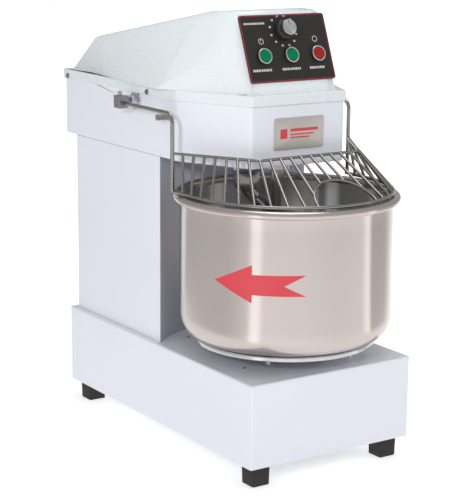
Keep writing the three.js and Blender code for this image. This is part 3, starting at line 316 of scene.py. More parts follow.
def finish_mesh(mesh: bpy.types.Mesh, sharp_degrees: float) -> None:
    """Merges doubled points, shades the mesh smooth and keeps edges sharper than an angle crisp.

    Args:
        mesh: the mesh to finish.
        sharp_degrees: edges that turn by more than this stay sharp.
    """
    work = bmesh.new()
    work.from_mesh(mesh)
    bmesh.ops.remove_doubles(work, verts=work.verts, dist=2e-6)
    work.to_mesh(mesh)
    work.free()
    mesh.shade_smooth()
    mesh.set_sharp_from_angle(angle=math.radians(sharp_degrees))


def stand(piece: bpy.types.Object, body: str, nodes: Sequence[str]) -> bpy.types.Object:
    """Links a new object, rides it on its body and hides the CAD nodes that it stands for.

    Args:
        piece: the new object.
        body: the CAD body it moves with.
        nodes: CAD nodes that it stands for.

    Returns:
        The same object.
    """
    bpy.context.scene.collection.objects.link(piece)
    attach(piece, body)
    if nodes:
        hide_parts(*nodes)
    LOG.info("%s: %d points on %s", piece.name, len(piece.data.vertices), body)
    return piece


def add_piece(name: str, surface: Surface, body: str, material: Material,
              replaces: Sequence[str] = (), sharp_degrees: float = 40,
              matrix: Optional[Matrix] = None) -> bpy.types.Object:
    """Makes an object of a surface and stands it on its body.

    Args:
        name: the piece's name.
        surface: its points and faces in machine millimetres.
        body: the CAD body it moves with.
        material: its finish.
        replaces: CAD nodes that it stands for.
        sharp_degrees: edges that turn by more than this stay sharp.
        matrix: places the surface's points before they are scaled, for pieces made in another frame.

    Returns:
        The new object.
    """
    points = surface.points
    if matrix is not None:
        grid = np.asarray(matrix)
        points = points @ grid[:3, :3].T + grid[:3, 3]
    mesh = bpy.data.meshes.new(name)
    mesh.from_pydata(place(points), [], surface.faces)
    layer = mesh.uv_layers.new(name="UVMap")
    loops = np.zeros(len(mesh.loops), np.int32)
    mesh.loops.foreach_get("vertex_index", loops)
    layer.data.foreach_set("uv", surface.uvs[loops].astype(np.float32).ravel() * MM)
    finish_mesh(mesh, sharp_degrees)
    mesh.materials.append(material)
    return stand(bpy.data.objects.new(name, mesh), body, replaces)


def soften_node(node: str, body: str, material: Material, radius_of: Callable[[Array], Array],
                widest: float) -> bpy.types.Object:
    """Stands a merged copy of a CAD node in for it, with its edges rounded by a rule.

    Args:
        node: the CAD node.
        body: the CAD body it moves with.
        material: its finish.
        radius_of: gives the edges' roundings in mm from their ends, of shape (2, edges, 3), in machine mm.
        widest: the largest rounding in mm that the rule gives.

    Returns:
        The new object.
    """
    work = bmesh.new()
    work.from_mesh(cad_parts[node].data)
    bmesh.ops.remove_doubles(work, verts=work.verts, dist=1e-5)
    bmesh.ops.dissolve_limit(work, angle_limit=math.radians(0.6), verts=work.verts, edges=work.edges)
    work.normal_update()
    for face in work.faces:
        turns = [edge.calc_face_angle(0.0) for edge in face.edges]
        face.smooth = any(FLAT_DEGREES < math.degrees(turn) < CURVED_DEGREES for turn in turns)
    mesh = bpy.data.meshes.new(node + "_skin")
    work.to_mesh(mesh)
    work.free()
    if "custom_normal" in mesh.attributes:
        mesh.attributes.remove(mesh.attributes["custom_normal"])
    points = np.zeros(len(mesh.vertices) * 3)
    mesh.vertices.foreach_get("co", points)
    points = points.reshape(-1, 3) / MM - np.array([0, SHIFT_Y, 0])
    pairs = np.zeros(len(mesh.edges) * 2, np.int32)
    mesh.edges.foreach_get("vertices", pairs)
    radii = radius_of(points[pairs.reshape(-1, 2).T])
    weights = mesh.attributes.new("bevel_weight_edge", "FLOAT", "EDGE")
    weights.data.foreach_set("value", (radii / widest).astype(np.float32))
    mesh.materials.clear()
    mesh.materials.append(material)
    piece = bpy.data.objects.new(node + "_skin", mesh)
    bevel = piece.modifiers.new("rounding", "BEVEL")
    bevel.limit_method = "WEIGHT"
    bevel.width = widest * MM
    bevel.segments = ROUNDING_STEPS
    bevel.use_clamp_overlap = False
    return stand(piece, body, [node])


def dress_node(node: str, material: Material) -> None:
    """Gives a CAD node that keeps its own shape its finish."""
    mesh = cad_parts[node].data
    mesh.materials.clear()
    mesh.materials.append(material)


# --- finishes -----------------------------------------------------------------------------------------------


def add_node(material: bpy.types.ID, kind: str, settings: Optional[dict[Union[str, int], Setting]] = None,
             links: Optional[dict[Union[str, int], Socket]] = None) -> bpy.types.Node:
    """Adds one shader node with its settings and incoming links.

    Args:
        material: the material or world that gets the node.
        kind: the node's type.
        settings: values by socket name, socket number or property name.
        links: outputs of other nodes by socket name or number.

    Returns:
        The new node.
    """
    node = material.node_tree.nodes.new(kind)
    for key, value in (settings or {}).items():
        if isinstance(key, str) and hasattr(node, key):
            setattr(node, key, value)
        else:
            node.inputs[key].default_value = value
    for key, output in (links or {}).items():
        material.node_tree.links.new(output, node.inputs[key])
    return node


def angle_ramp(owner: bpy.types.ID, across: Socket, front: Socket,
               levels: Sequence[Sequence[float]]) -> Socket:
    """Grey levels by the angle round an upright axis.

    Args:
        owner: the material or world under way.
        across: distance from the axis towards the right.
        front: distance from the axis towards the front.
        levels: degrees from the front towards the right, from -180 to 180, and the level at each.

    Returns:
        The level as a colour output.
    """
    turn = add_node(owner, "ShaderNodeMath", {"operation": "ARCTAN2"}, {0: across, 1: front})
    share = add_node(owner, "ShaderNodeMapRange", {"From Min": -math.pi, "From Max": math.pi},
                     {"Value": turn.outputs[0]})
    ramp = add_node(owner, "ShaderNodeValToRGB", None, {"Fac": share.outputs[0]})
    stops = ramp.color_ramp.elements
    stops[0].position, stops[1].position = 0.0, 1.0
    for angle, level in levels:
        stop = stops.new((angle + 180) / 360)
        stop.color = (level, level, level, 1)
    for stop in (stops[0], stops[-1]):
        stop.color = (levels[0][1],) * 3 + (1,)
    return ramp.outputs[0]


def round_bowl(material: Material, levels: Sequence[Sequence[float]]) -> Socket:
    """Grey levels by the angle round the bowl's axis, read from Object coordinates.

    Args:
        material: the material under way.
        levels: degrees from the front towards the right and the level at each.

    Returns:
        The level as a colour output.
    """
    source = add_node(material, "ShaderNodeTexCoord")
    axes = add_node(material, "ShaderNodeSeparateXYZ", None, {"Vector": source.outputs["Object"]})
    front = add_node(material, "ShaderNodeMath", {"operation": "SUBTRACT", 0: (BOWL_Y + SHIFT_Y) * MM},
                     {1: axes.outputs[1]})
    return angle_ramp(material, axes.outputs[0], front.outputs[0], levels)


def shader_of(material: Material) -> bpy.types.Node:
    """The surface shader of a finish."""
    return next(n for n in material.node_tree.nodes if n.bl_idname == "ShaderNodeBsdfPrincipled")


class Pattern(Enum):
    """How a finish's grain runs."""

    GRAINED = "even grain in every direction"
    ROUND = "fine lines round the piece, from spinning or turning"
    LENGTHWISE = "fine lines along the piece, from drawing or brushing"


@dataclass(frozen=True)
class Finish:
    """A real material and how its surface was made.

    Attributes:
        name: the material's common name and process.
        colour: main colour.
        shade: colour of its faint clouds.
        cloud_mm: size of the clouds.
        grain_mm: size of the grain or spacing of the lines.
        grain_depth_mm: how deep the grain is.
        roughness: smoothest and roughest values.
        metallic: 1 for a metal.
        coat: strength of a clear gloss layer.
        specular: strength of the plain surface reflection.
        anisotropic: how far highlights stretch across the lines.
        pattern: how the grain runs.
    """

    name: str
    colour: str
    shade: str
    cloud_mm: float = 60.0
    grain_mm: float = 1.5
    grain_depth_mm: float = 0.02
    roughness: tuple[float, float] = (0.35, 0.45)
    metallic: float = 0.0
    coat: float = 0.0
    specular: float = 0.5
    anisotropic: float = 0.0
    pattern: Pattern = Pattern.GRAINED

    def coordinates(self, material: Material) -> Socket:
        """The coordinates of the grain, stretched along its lines.

        Args:
            material: the material under way.

        Returns:
            An output with one grain to a unit.
        """
        source = add_node(material, "ShaderNodeTexCoord")
        grains = 1 / (self.grain_mm * MM)
        if self.pattern is Pattern.GRAINED:
            return add_node(material, "ShaderNodeMapping", {"Scale": (grains,) * 3},
                            {"Vector": source.outputs["Object"]}).outputs[0]
        along = grains * 0.012
        scale = (along, grains, 1.0) if self.pattern is Pattern.ROUND else (grains, along, 1.0)
        return add_node(material, "ShaderNodeMapping", {"Scale": scale},
                        {"Vector": source.outputs["UV"]}).outputs[0]

    def build(self) -> Material:
        """Builds the node material.

        Returns:
            The finished material.
        """
        material = bpy.data.materials.new(self.name)
        material.use_nodes = True
        material.node_tree.nodes.clear()
        source = add_node(material, "ShaderNodeTexCoord")
        clouds = add_node(material, "ShaderNodeTexNoise", {"Scale": 1 / (self.cloud_mm * MM), "Detail": 3.0},
                          {"Vector": source.outputs["Object"]})
        grain = add_node(material, "ShaderNodeTexNoise", {"Scale": 1.0, "Detail": 2.0},
                         {"Vector": self.coordinates(material)})
        colour = add_node(material, "ShaderNodeMix", {"data_type": "RGBA", 6: linear(self.colour),
                          7: linear(self.shade)}, {0: clouds.outputs[0]})
        low, high = self.roughness
        rough = add_node(material, "ShaderNodeMapRange", {"To Min": low, "To Max": high, "From Min": 0.3,
                         "From Max": 0.7}, {"Value": grain.outputs[0]})
        bump = add_node(material, "ShaderNodeBump", {"Strength": 0.5, "Distance": self.grain_depth_mm * MM},
                        {"Height": grain.outputs[0]})
        links = {"Base Color": colour.outputs[2], "Roughness": rough.outputs[0], "Normal": bump.outputs[0]}
        settings = {"Metallic": self.metallic, "Coat Weight": self.coat, "Coat Roughness": 0.12,
                    "Specular IOR Level": self.specular}
        if self.anisotropic:
            settings["Anisotropic"] = self.anisotropic
            settings["Anisotropic Rotation"] = 0.25 if self.pattern is Pattern.ROUND else 0.0
            tangent = add_node(material, "ShaderNodeTangent", {"direction_type": "UV_MAP", "uv_map": "UVMap"})
            links["Tangent"] = tangent.outputs[0]
        shader = add_node(material, "ShaderNodeBsdfPrincipled", settings, links)
        add_node(material, "ShaderNodeOutputMaterial", None, {"Surface": shader.outputs[0]})
        return material


def made(*values: Union[str, float, tuple[float, float]], **more: Union[float, Pattern]) -> Material:
    """A field that builds its finish, from a Finish's own values, when its set is made."""
    return field(default_factory=Finish(*values, **more).build)


@dataclass
class Finishes:
    """All the finishes of the machine, each made once."""

    # Powder coat over folded steel: an even satin skin with a very faint orange peel.
    coat: Material = made(
        "powder_coated_sheet_steel", "#ECEEF6", "#E6E9F3", 140, 1.8, 0.007, (0.30, 0.38), coat=0.15)
    # Pressed and sprayed cover: a little cooler and glossier than the powder coat.
    cover: Material = made(
        "sprayed_moulded_cover", "#E6ECEF", "#DEE5E9", 120, 2.4, 0.005, (0.24, 0.32), coat=0.3)
    # Spun stainless steel: turning lines run round it, so highlights stand up as vertical bands.
    bowl: Material = made(
        "spun_stainless_steel", "#CDC3BE", "#C8BEB9", 160, 0.35, 0.0006, (0.17, 0.21), 1.0,
        anisotropic=0.8, pattern=Pattern.ROUND)
    # Polished stainless bar, as hooks are after grinding: smooth with faint lengthwise lines.
    forged: Material = made(
        "polished_stainless_bar", "#C9C2BE", "#B4ADA9", 30, 0.8, 0.006, (0.14, 0.26), 1.0,
        anisotropic=0.4, pattern=Pattern.LENGTHWISE)
    # Electropolished stainless wire: bright, with a soft drawn grain.
    wire: Material = made(
        "electropolished_stainless_wire", "#A8A3A0", "#938E8B", 25, 0.7, 0.004, (0.12, 0.20), 1.0,
        anisotropic=0.3, pattern=Pattern.LENGTHWISE)
    # Turned and plated steel parts: bright with a fine turned sheen.
    plated: Material = made(
        "nickel_plated_turned_steel", "#D3D4D6", "#BDBEC2", 18, 0.5, 0.004, (0.12, 0.24), 1.0,
        anisotropic=0.3, pattern=Pattern.ROUND)
    # Zinc-plated steel blocks and shafts: an even, slightly dull grey.
    zinc: Material = made(
        "zinc_plated_machined_steel", "#A8A4A2", "#8F8B89", 14, 0.8, 0.01, (0.24, 0.38), 1.0)
    # Spun aluminium disc: fine circles that spread highlights into bright and dark sectors.
    spun: Material = made(
        "spun_aluminium_disc", "#DADBDD", "#C9CACD", 20, 0.4, 0.002, (0.26, 0.32), 1.0,
        anisotropic=0.95, pattern=Pattern.ROUND)
    # Anodised aluminium plate: warm silver with a brushed grain.
    plate: Material = made(
        "brushed_anodised_aluminium", "#CDC6C0", "#C2BBB6", 40, 0.6, 0.006, (0.30, 0.42), 0.85,
        anisotropic=0.5, pattern=Pattern.ROUND)
    # Moulded black thermoplastic: dark satin with a fine spark-eroded texture.
    black: Material = made(
        "black_moulded_plastic", "#211F1F", "#2B2828", 20, 0.7, 0.03, (0.38, 0.52))
    # Printed polyester membrane over an aluminium panel: warm near-black with a fine matt texture.
    membrane: Material = made(
        "printed_panel_membrane", "#262322", "#2D2A28", 30, 0.6, 0.012, (0.46, 0.56), specular=0.35)
    # Vulcanised rubber: deep matt brown-black.
    rubber: Material = made(
        "vulcanised_rubber", "#2B2624", "#342E2B", 15, 1.2, 0.05, (0.7, 0.85))
    # Machined and oiled cast iron: a dark grey that shines softly where the oil lies.
    iron: Material = made(
        "oiled_cast_iron", "#6B6F73", "#55585C", 12, 1.5, 0.05, (0.42, 0.6), 0.7)
    # Injection-moulded, polished button caps: one deep even colour with a soft edge to its highlights.
    green: Material = made(
        "green_polished_acrylic", "#047F52", "#037048", 8, 1.0, 0.004, (0.30, 0.38), specular=0.08)
    red: Material = made(
        "red_polished_acrylic", "#A32C26", "#93241F", 8, 1.0, 0.004, (0.30, 0.38), specular=0.08)
    # Cut vinyl sign film: flat, slightly faded red.
    vinyl: Material = made(
        "red_sign_vinyl", "#D43C46", "#DB4952", 40, 1.0, 0.004, (0.32, 0.42))
    # Screen-printed inks on the panel: thin matt layers with crisp edges.
    white_ink: Material = made(
        "white_screen_ink", "#D9D5D2", "#C9C5C2", 10, 0.6, 0.004, (0.5, 0.6))
    red_ink: Material = made(
        "dark_red_screen_ink", "#8C2A2E", "#7C2428", 10, 0.6, 0.004, (0.45, 0.55))


@dataclass
class Assembly:
    """A sub-assembly of the machine, dressed from one set of finishes."""

    finishes: Finishes


# --- base and column ----------------------------------------------------------------------------------------


@dataclass
class Body(Assembly):
    """The folded sheet-steel base and column on four rubber feet."""

    base_half_x: float = 163.5
    base_half_y: float = 305.0
    base_bottom: float = 36.7
    column_half: float = 152.6
    column_back: float = 294.4
    foot_side: float = 36.0
    foot_taper: float = 1.1
    foot_height: float = 36.4
    foot_inset: float = 13.0

    def base_rounding(self, ends: Array) -> Array:
        """Rounds the base's outside: 5 mm up its corners, 3.2 mm round the top, 1 mm round the bottom.

        Args:
            ends: both ends of each edge, of shape (2, edges, 3).

        Returns:
            Each edge's rounding in mm.
        """
        wide, deep, height = np.abs(ends[..., 0]), np.abs(ends[..., 1]), ends[..., 2]
        outside = (near(wide, self.base_half_x) | near(deep, self.base_half_y)).all(0)
        top, low = near(height, BASE_TOP).all(0), near(height, self.base_bottom).all(0)
        return np.select([outside & (rise(ends) > 20), outside & top, outside & low], [5.0, 3.2, 1.0])

    def column_rounding(self, ends: Array) -> Array:
        """Rounds the column's upright corners: 5 mm at the back, 1.2 mm at the sharp front.

        Args:
            ends: both ends of each edge, of shape (2, edges, 3).

        Returns:
            Each edge's rounding in mm.
        """
        corner = near(np.abs(ends[..., 0]), self.column_half).all(0) & (rise(ends) > 100)
        return np.select([corner & near(ends[0, :, 1], self.column_back), corner], [5.0, 1.2])

    def panel_rounding(self, ends: Array) -> Array:
        """Breaks the back panel's outline, its only edges over 200 mm, by 1.2 mm."""
        return np.where(length(ends) > 200, 1.2, 0.0)

    def foot(self, x: float, y: float) -> Array:
        """A foot as a square outline with round corners that widens by the taper towards its top.

        Args:
            x: the middle's place across.
            y: the middle's place along.

        Returns:
            Points of the closed loft.
        """
        half = self.foot_side / 2
        points, normals = outline(rectangle(half, half, x, y), [5.0] * 4)
        levels = [(self.foot_taper + 2.2, 0.0), (self.foot_taper + 0.6, 0.6), (self.foot_taper, 2.2),
                  (0.1, self.foot_height - 1.2), (0.8, self.foot_height)]
        return loft(points, normals, levels)

    def build(self) -> None:
        """Builds the base, the column, its back panel and the feet."""
        soften_node("base_shell", "frame", self.finishes.coat, self.base_rounding, 5.0)
        soften_node("column_shell", "frame", self.finishes.coat, self.column_rounding, 5.0)
        soften_node("column_back_panel", "frame", self.finishes.coat, self.panel_rounding, 1.2)
        reach_x = self.base_half_x - self.foot_inset - self.foot_side / 2
        reach_y = self.base_half_y - self.foot_inset - self.foot_side / 2
        places = [(-reach_x, -reach_y), (reach_x, -reach_y), (reach_x, reach_y), (-reach_x, reach_y)]
        for i, (x, y) in enumerate(places, 1):
            block = Surface().add(self.foot(x, y), close_cols=True)
            add_piece(f"foot_{i}_moulding", block, "frame", self.finishes.rubber, [f"foot_{i}"])
        self.screws()

    def screws(self) -> None:
        """Sets small button-head screws on the base's top."""
        heads = Surface()
        for x, y in ((-115.7, -213.5), (115.7, -213.5), (-93.0, -3.6), (93.0, -3.6)):
            profile = [(0, 0.1), (3.4, 0.1), (3.4, 0.8), (2.6, 1.6), (1.2, 2.0), (1.1, 1.2), (0, 1.2)]
            heads.turn([(r, BASE_TOP + h) for r, h in profile], 28, (x, y))
        add_piece("base_screws", heads, "frame", self.finishes.plated)


# --- head and cover -----------------------------------------------------------------------------------------


@dataclass
class Head(Assembly):
    """The sheet-steel head, its moulded cover, the screws along its lip and the blank name plate."""

    half: float = 153.0
    nose_half: float = 94.0
    nose_y: float = -194.0
    bend_y: float = -61.6
    back_y: float = 328.5
    lip_offset: float = 4.1
    roof_top: float = 755.3
    screw_ys: tuple[float, float] = (313.4, 28.9)
    screw_z: float = 613.5
    plate_size: tuple[float, float] = (100.5, 53.0)
    plate_x: float = 1.2
    plate_z: float = 560.5
    marks_height: float = 1.06

    def head_rounding(self, ends: Array) -> Array:
        """Rounds the head: 5 mm up its folds in front, 1.6 mm round the bottom edge.

        Args:
            ends: both ends of each edge, of shape (2, edges, 3).

        Returns:
            Each edge's rounding in mm.
        """
        outside = self.on_outline(ends, 0).all(0)
        fold = (rise(ends) > 60) & (ends[0, :, 1] < self.back_y - 1)
        low = near(ends[..., 2], HEAD_UNDERSIDE).all(0)
        return np.select([outside & fold, outside & low], [5.0, 1.6])

    def on_outline(self, points: Array, offset: float) -> Array:
        """Which points stand on the head's plan outline grown by an offset.

        Args:
            points: an array whose last axis is x, y and z.
            offset: how far the outline is grown at its sides, front and back.

        Returns:
            True for each point on the slant, a side, the front or the back.
        """
        x, y = np.abs(points[..., 0]), points[..., 1]
        nose, side = self.nose_half + offset * 0.25, self.half + offset
        front, bend_y = self.nose_y - offset, self.bend_y - offset * 0.25
        slant = nose + (y - front) * (side - nose) / (bend_y - front)
        on_slant = near(x, slant, 0.15) & (x >= nose - 0.2) & (x <= side + 0.2)
        on_flank = near(x, side, 0.15) & (y >= bend_y - 0.2)
        on_front = near(y, front, 0.15) & (x <= nose + 0.2)
        return on_slant | on_flank | on_front | near(y, self.back_y + offset, 0.15)

    def cover_rounding(self, ends: Array) -> Array:
        """Rounds the cover: 26 mm up the nose, 9 mm on the roof, 3 mm at the lip's corners, 1.8 mm on rims.

        Args:
            ends: both ends of each edge, of shape (2, edges, 3).

        Returns:
            Each edge's rounding in mm.
        """
        outside = self.on_outline(ends, self.lip_offset).all(0)
        roof = (ends[..., 2].max(0) > LIP_TOP + 5) & self.on_roof(ends).all(0)
        fold = roof & (length(ends) > 30)
        nose = (ends[..., 1] < self.bend_y + 1).all(0) & (rise(ends) > 40)
        rules = [fold & nose, fold, outside & (rise(ends) > 10), outside & (rise(ends) < 0.1) & ~roof]
        return np.select(rules, [26.0, 9.0, 3.0, 1.8])

    def on_roof(self, points: Array) -> Array:
        """Which points stand on one of the roof's outer corners, the left ones folded onto the right.

        Args:
            points: an array whose last axis is x, y and z.

        Returns:
            True for each point within 0.6 mm of a corner.
        """
        corners = np.array([
            [88.0, -186.5, LIP_TOP], [85.5, -135.5, self.roof_top], [98.0, -72.9, self.roof_top],
            [139.0, -61.6, LIP_TOP], [119.61, 281.0, 687.0], [139.0, 331.0, LIP_TOP]])
        folded = points * np.where(points[..., :1] < 0, [-1, 1, 1], 1)
        return (np.linalg.norm(folded[..., None, :] - corners, axis=-1) < 0.6).any(-1)

    def build(self) -> None:
        """Builds the head's tray, the cover, the lip screws and the name plate."""
        soften_node("head_body", "frame", self.finishes.coat, self.head_rounding, 5.0)
        soften_node("top_cover", "frame", self.finishes.cover, self.cover_rounding, 26.0)
        self.lip_screws()
        self.name_plate()

    def lip_screws(self) -> None:
        """Turns the lip screws, each a low dome with a hexagon socket on a shank, two each side."""
        head = [(0, 0.3), (5.0, 0.3), (5.0, 1.3), (4.2, 2.2), (2.4, 2.7), (1.9, 2.6), (1.8, 0.9), (0, 0.9)]
        shank = [(0, -12.0), (3.0, -11.5), (3.0, 0.5), (0, 0.5)]
        places = [(side, y) for side in (-1, 1) for y in self.screw_ys]
        for number, (side, y) in enumerate(places, 1):
            add_piece(f"cover_screw_{number}_socket_head", Surface().turn(head, 36).turn(shank, 24), "frame",
                      self.finishes.zinc, [f"cover_screw_{number}"],
                      matrix=on_side(side, self.half + self.lip_offset, y, self.screw_z))

    def name_plate(self) -> None:
        """Lofts the blank plate with its round corners and rolled border; a red block and bars lie on it."""
        points, normals = outline(rectangle(self.plate_size[0] / 2, self.plate_size[1] / 2), [4.0] * 4)
        levels = [(0.4, 0.0), (0.0, 0.3), (0.0, 0.8), (0.4, 1.2), (3.0, 1.2), (3.4, 1.0)]
        seat = Matrix.Translation((self.plate_x, self.nose_y - SEAM, self.plate_z)) @ (
            Matrix.Rotation(math.pi / 2, 4, "X"))
        plate = Surface().add(loft(points, normals, levels), close_cols=True)
        add_piece("name_plate_blank", plate, "frame", self.finishes.plate, ["name_plate"],
                  sharp_degrees=15, matrix=seat)
        marks = Surface()
        for x0, x1, y0, y1 in ((-38, -24, -8, 8), (-18, 38, 3, 8), (-18, 30, -3, -0.5), (-18, 22, -8, -5.5)):
            marks.add(sheet(x0, x1, y0, y1, self.marks_height))
        add_piece("name_plate_bars", marks, "frame", self.finishes.vinyl, matrix=seat)


def sheet(x0: float, x1: float, y0: float, y1: float, height: float) -> Array:
    """A flat rectangle of print as a 2 by 2 grid of points."""
    x, y = np.meshgrid([x0, x1], [y0, y1])
    return np.stack([x, y, np.full_like(x, height, dtype=float)], -1)


def arc_band(radius: float, width: float, start: float, stop: float, height: float,
             centre: tuple[float, float]) -> Array:
    """A flat band of print on an arc: x = r sin a, y = r cos a, for a between two angles in degrees.

    Args:
        radius: the band's middle radius.
        width: how wide the band is.
        start: its first angle, clockwise from straight up.
        stop: its last angle.
        height: how high it lies.
        centre: x and y of the arc's centre.

    Returns:
        Points of shape (2, 24, 3), the outer edge first.
    """
    a = np.radians(np.linspace(start, stop, 24))
    r = np.array([radius + width / 2, radius - width / 2])[:, None]
    x, y = centre[0] + r * np.sin(a), centre[1] + r * np.cos(a)
    return np.stack([x, y, np.full_like(x, height)], -1)


# --- control panel ------------------------------------------------------------------------------------------


class ButtonColour(Enum):
    """The colours of the push-button caps."""

    GREEN = "green"
    RED = "red"


@dataclass
class ControlPanel(Assembly):
    """The panel on the sloped face, in a frame whose Z leaves the face and whose Y runs up it."""

    width: float = 172.0
    length: float = 114.0
    foot: tuple[float, float] = (-186.5, 625.7)
    head: tuple[float, float] = (-135.5, 755.3)
    rise: float = 76.7
    surface: float = 2.3
    ink_rise: float = 0.12
    border: float = 2.6
    button_y: float = -13.3
    cap_rise: float = 6.1
    dial_radius: float = 26.0
    knob: tuple[float, float] = (-2.5, 29.0)
    buttons: tuple[tuple[float, ButtonColour], ...] = (
        (-50.7, ButtonColour.GREEN), (3.6, ButtonColour.GREEN), (57.9, ButtonColour.RED))

    def seat(self, x: float = 0.0, y: float = 0.0, h: float = 0.0) -> Matrix:
        """The matrix that puts a piece on the sloped face at a place (x, y), a height above it.

        Args:
            x: place across the face.
            y: place up the face from its middle.
            h: height above the face.

        Returns:
            The matrix from the piece's own millimetres to the machine's.
        """
        run, rise = self.head[0] - self.foot[0], self.head[1] - self.foot[1]
        length = math.hypot(run, rise)
        centre = (0, self.foot[0] + run / length * self.rise, self.foot[1] + rise / length * self.rise)
        tilt = Matrix.Rotation(math.atan2(rise, run), 4, "X")
        return Matrix.Translation(centre) @ tilt @ Matrix.Translation((x, y, h))

    def build(self) -> None:
        """Builds the plate, its print, the bezels, the caps and the timer knob."""
        self.plate()
        self.print_marks()
        for i, (x, colour) in enumerate(self.buttons, 1):
            self.bezel(i, x)
            self.cap(i, x, colour)
        self.timer()

    def plate(self) -> None:
        """Dresses the panel plate and frames it with a printed band along its edge."""
        dress_node("control_panel", self.finishes.membrane)
        points, normals = outline(rectangle(self.width / 2, self.length / 2), [5.0] * 4)
        low, top = self.surface + 0.02, self.surface + self.ink_rise
        levels = [(self.border, low), (self.border - 0.1, top), (0.4, top), (0.2, low)]
        band = loft(points, normals, levels, closed_ends=False)[::-1]
        ring = Surface().add(band, close_cols=True)
        add_piece("panel_border_print", ring, "frame", self.finishes.red_ink, matrix=self.seat())

    def print_marks(self) -> None:
        """Prints the timer's scale and plain bars and symbols beside the controls."""
        h = self.surface + self.ink_rise
        ink = Surface()
        for step in range(12):
            a = math.radians(-165 + step * 30)
            x = self.knob[0] + self.dial_radius * math.sin(a)
            y = self.knob[1] + self.dial_radius * math.cos(a)
            for left in (-1.9, 0.3):
                ink.add(sheet(x + left, x + left + 1.6, y - 1.6, y + 1.6, h))
        row_y = self.button_y - 23.0
        for x, blocks in ((-58.5, 11), (-0.3, 11), (51.9, 9)):
            self.block_row(ink, (x - blocks * 1.7, row_y), blocks, 3.4, 4.0)
        self.block_row(ink, (-78.0, 42.6), 15, 2.8, 3.4)
        ink.add(arc_band(4.6, 1.0, 25, 335, h, (-50.7, 12.5)))
        ink.add(sheet(-51.3, -50.1, 12.5, 18.6, h))
        ink.add(arc_band(4.6, 1.0, 0, 360, h, (57.9, 12.5)))
        add_piece("panel_print", ink, "frame", self.finishes.white_ink, matrix=self.seat())

    def block_row(self, ink: Surface, start: tuple[float, float], blocks: int, pitch: float,
                  height: float) -> None:
        """Prints a row of plain blocks in place of a word, with a wider gap after every fifth.

        Args:
            ink: the print under way.
            start: x of the row's left end and y of its middle.
            blocks: how many blocks there are.
            pitch: from one block to the next.
            height: how tall the blocks are.
        """
        y = start[1]
        for i in range(blocks):
            x = start[0] + i * pitch
            ink.add(sheet(x, x + pitch * (0.55 if i % 5 == 4 else 0.72), y - height / 2, y + height / 2,
                          self.surface + self.ink_rise))

    def bezel(self, number: int, x: float) -> None:
        """Turns a bezel: a threaded bushing with a rim whose outer edge is rolled over.

        Args:
            number: the button's number.
            x: its place across the panel.
        """
        s = self.surface + SEAM
        profile = [(10.45, -22), (11.7, -22), (11.7, s), (12.6, s), (12.6, s + 3.2), (13.4, s + 3.4)]
        profile += bend(12.2, s + 4.2, 1.3, 0, 90, 8) + [(11.4, s + 5.5), (10.7, s + 5.0), (10.45, s + 4.4),
                                                         (10.45, -22)]
        add_piece(f"bezel_{number}_rolled_rim", Surface().turn(profile, 72), "frame", self.finishes.plated,
                  [f"button_bezel_{number}"], matrix=self.seat(x, self.button_y))
        base = [(12.7, s), (13.5, s), (13.5, s + 2.6), (13.0, s + 3.1), (12.7, s + 3.1), (12.7, s)]
        add_piece(f"bezel_{number}_collar", Surface().turn(base, 72), "frame", self.finishes.black,
                  matrix=self.seat(x, self.button_y))

    def cap(self, number: int, x: float, colour: ButtonColour) -> None:
        """Turns a cap: a plunger whose face is very slightly dished inside a round edge.

        Args:
            number: the button's number.
            x: its place across the panel.
            colour: its colour.
        """
        top = self.surface + SEAM + self.cap_rise
        face = [(8.4, top + 0.02), (6.0, top - 0.35), (3.0, top - 0.55), (0, top - 0.6)]
        profile = [(0, -14), (9.9, -14), (9.95, top - 1.4)] + bend(9.0, top - 0.95, 0.95, 0, 80, 6) + face
        plunger = Surface().turn(profile, 72)
        material = self.finishes.green if colour is ButtonColour.GREEN else self.finishes.red
        add_piece(f"button_cap_{number}", plunger, f"button_{number}", material,
                  [f"push_button_{number}"], matrix=self.seat(x, self.button_y))

    def timer(self) -> None:
        """Turns the knob's fluted black skirt and its spun aluminium face with a pointer groove."""
        s = self.surface + 3 * SEAM
        profile = np.array([(0, -22), (3, -22), (3, s), (16.4, s), (17.4, s + 0.8), (17.3, s + 4),
                            (16.9, s + 7.6), (16.0, s + 9.0), (13.9, s + 9.8), (13.2, s + 11.0),
                            (13.0, s + 18.2), (12.4, s + 18.9), (0, s + 18.9)])
        depth = np.interp(np.arange(len(profile)), [0, 3, 4, 5, 6, 7, 8, 9, 12],
                          [0, 0, 0.7, 1.0, 1.0, 0.8, 0.2, 0, 0])
        seat = self.seat(*self.knob)
        skirt = Surface().add(turned(profile, (0, 0), 240, 24, depth), close_cols=True)
        add_piece("timer_knob_skirt", skirt, "knob", self.finishes.black, ["timer_knob"], matrix=seat)
        rim = [(0, s + 18.95), (12.6, s + 18.95), (13.3, s + 19.2)] + bend(12.7, s + 19.4, 0.6, 0, 90, 5)
        face = Surface().turn(rim + [(11.8, s + 19.85), (11.4, s + 19.6), (0, s + 19.6)], 120)
        add_piece("timer_knob_face", face, "knob", self.finishes.spun, matrix=seat)
        mark = Surface().add(sheet(-0.6, 0.6, 4.5, 11.0, s + 19.72))
        add_piece("timer_knob_pointer", mark, "knob", self.finishes.black, matrix=seat)


# --- bowl ---------------------------------------------------------------------------------------------------


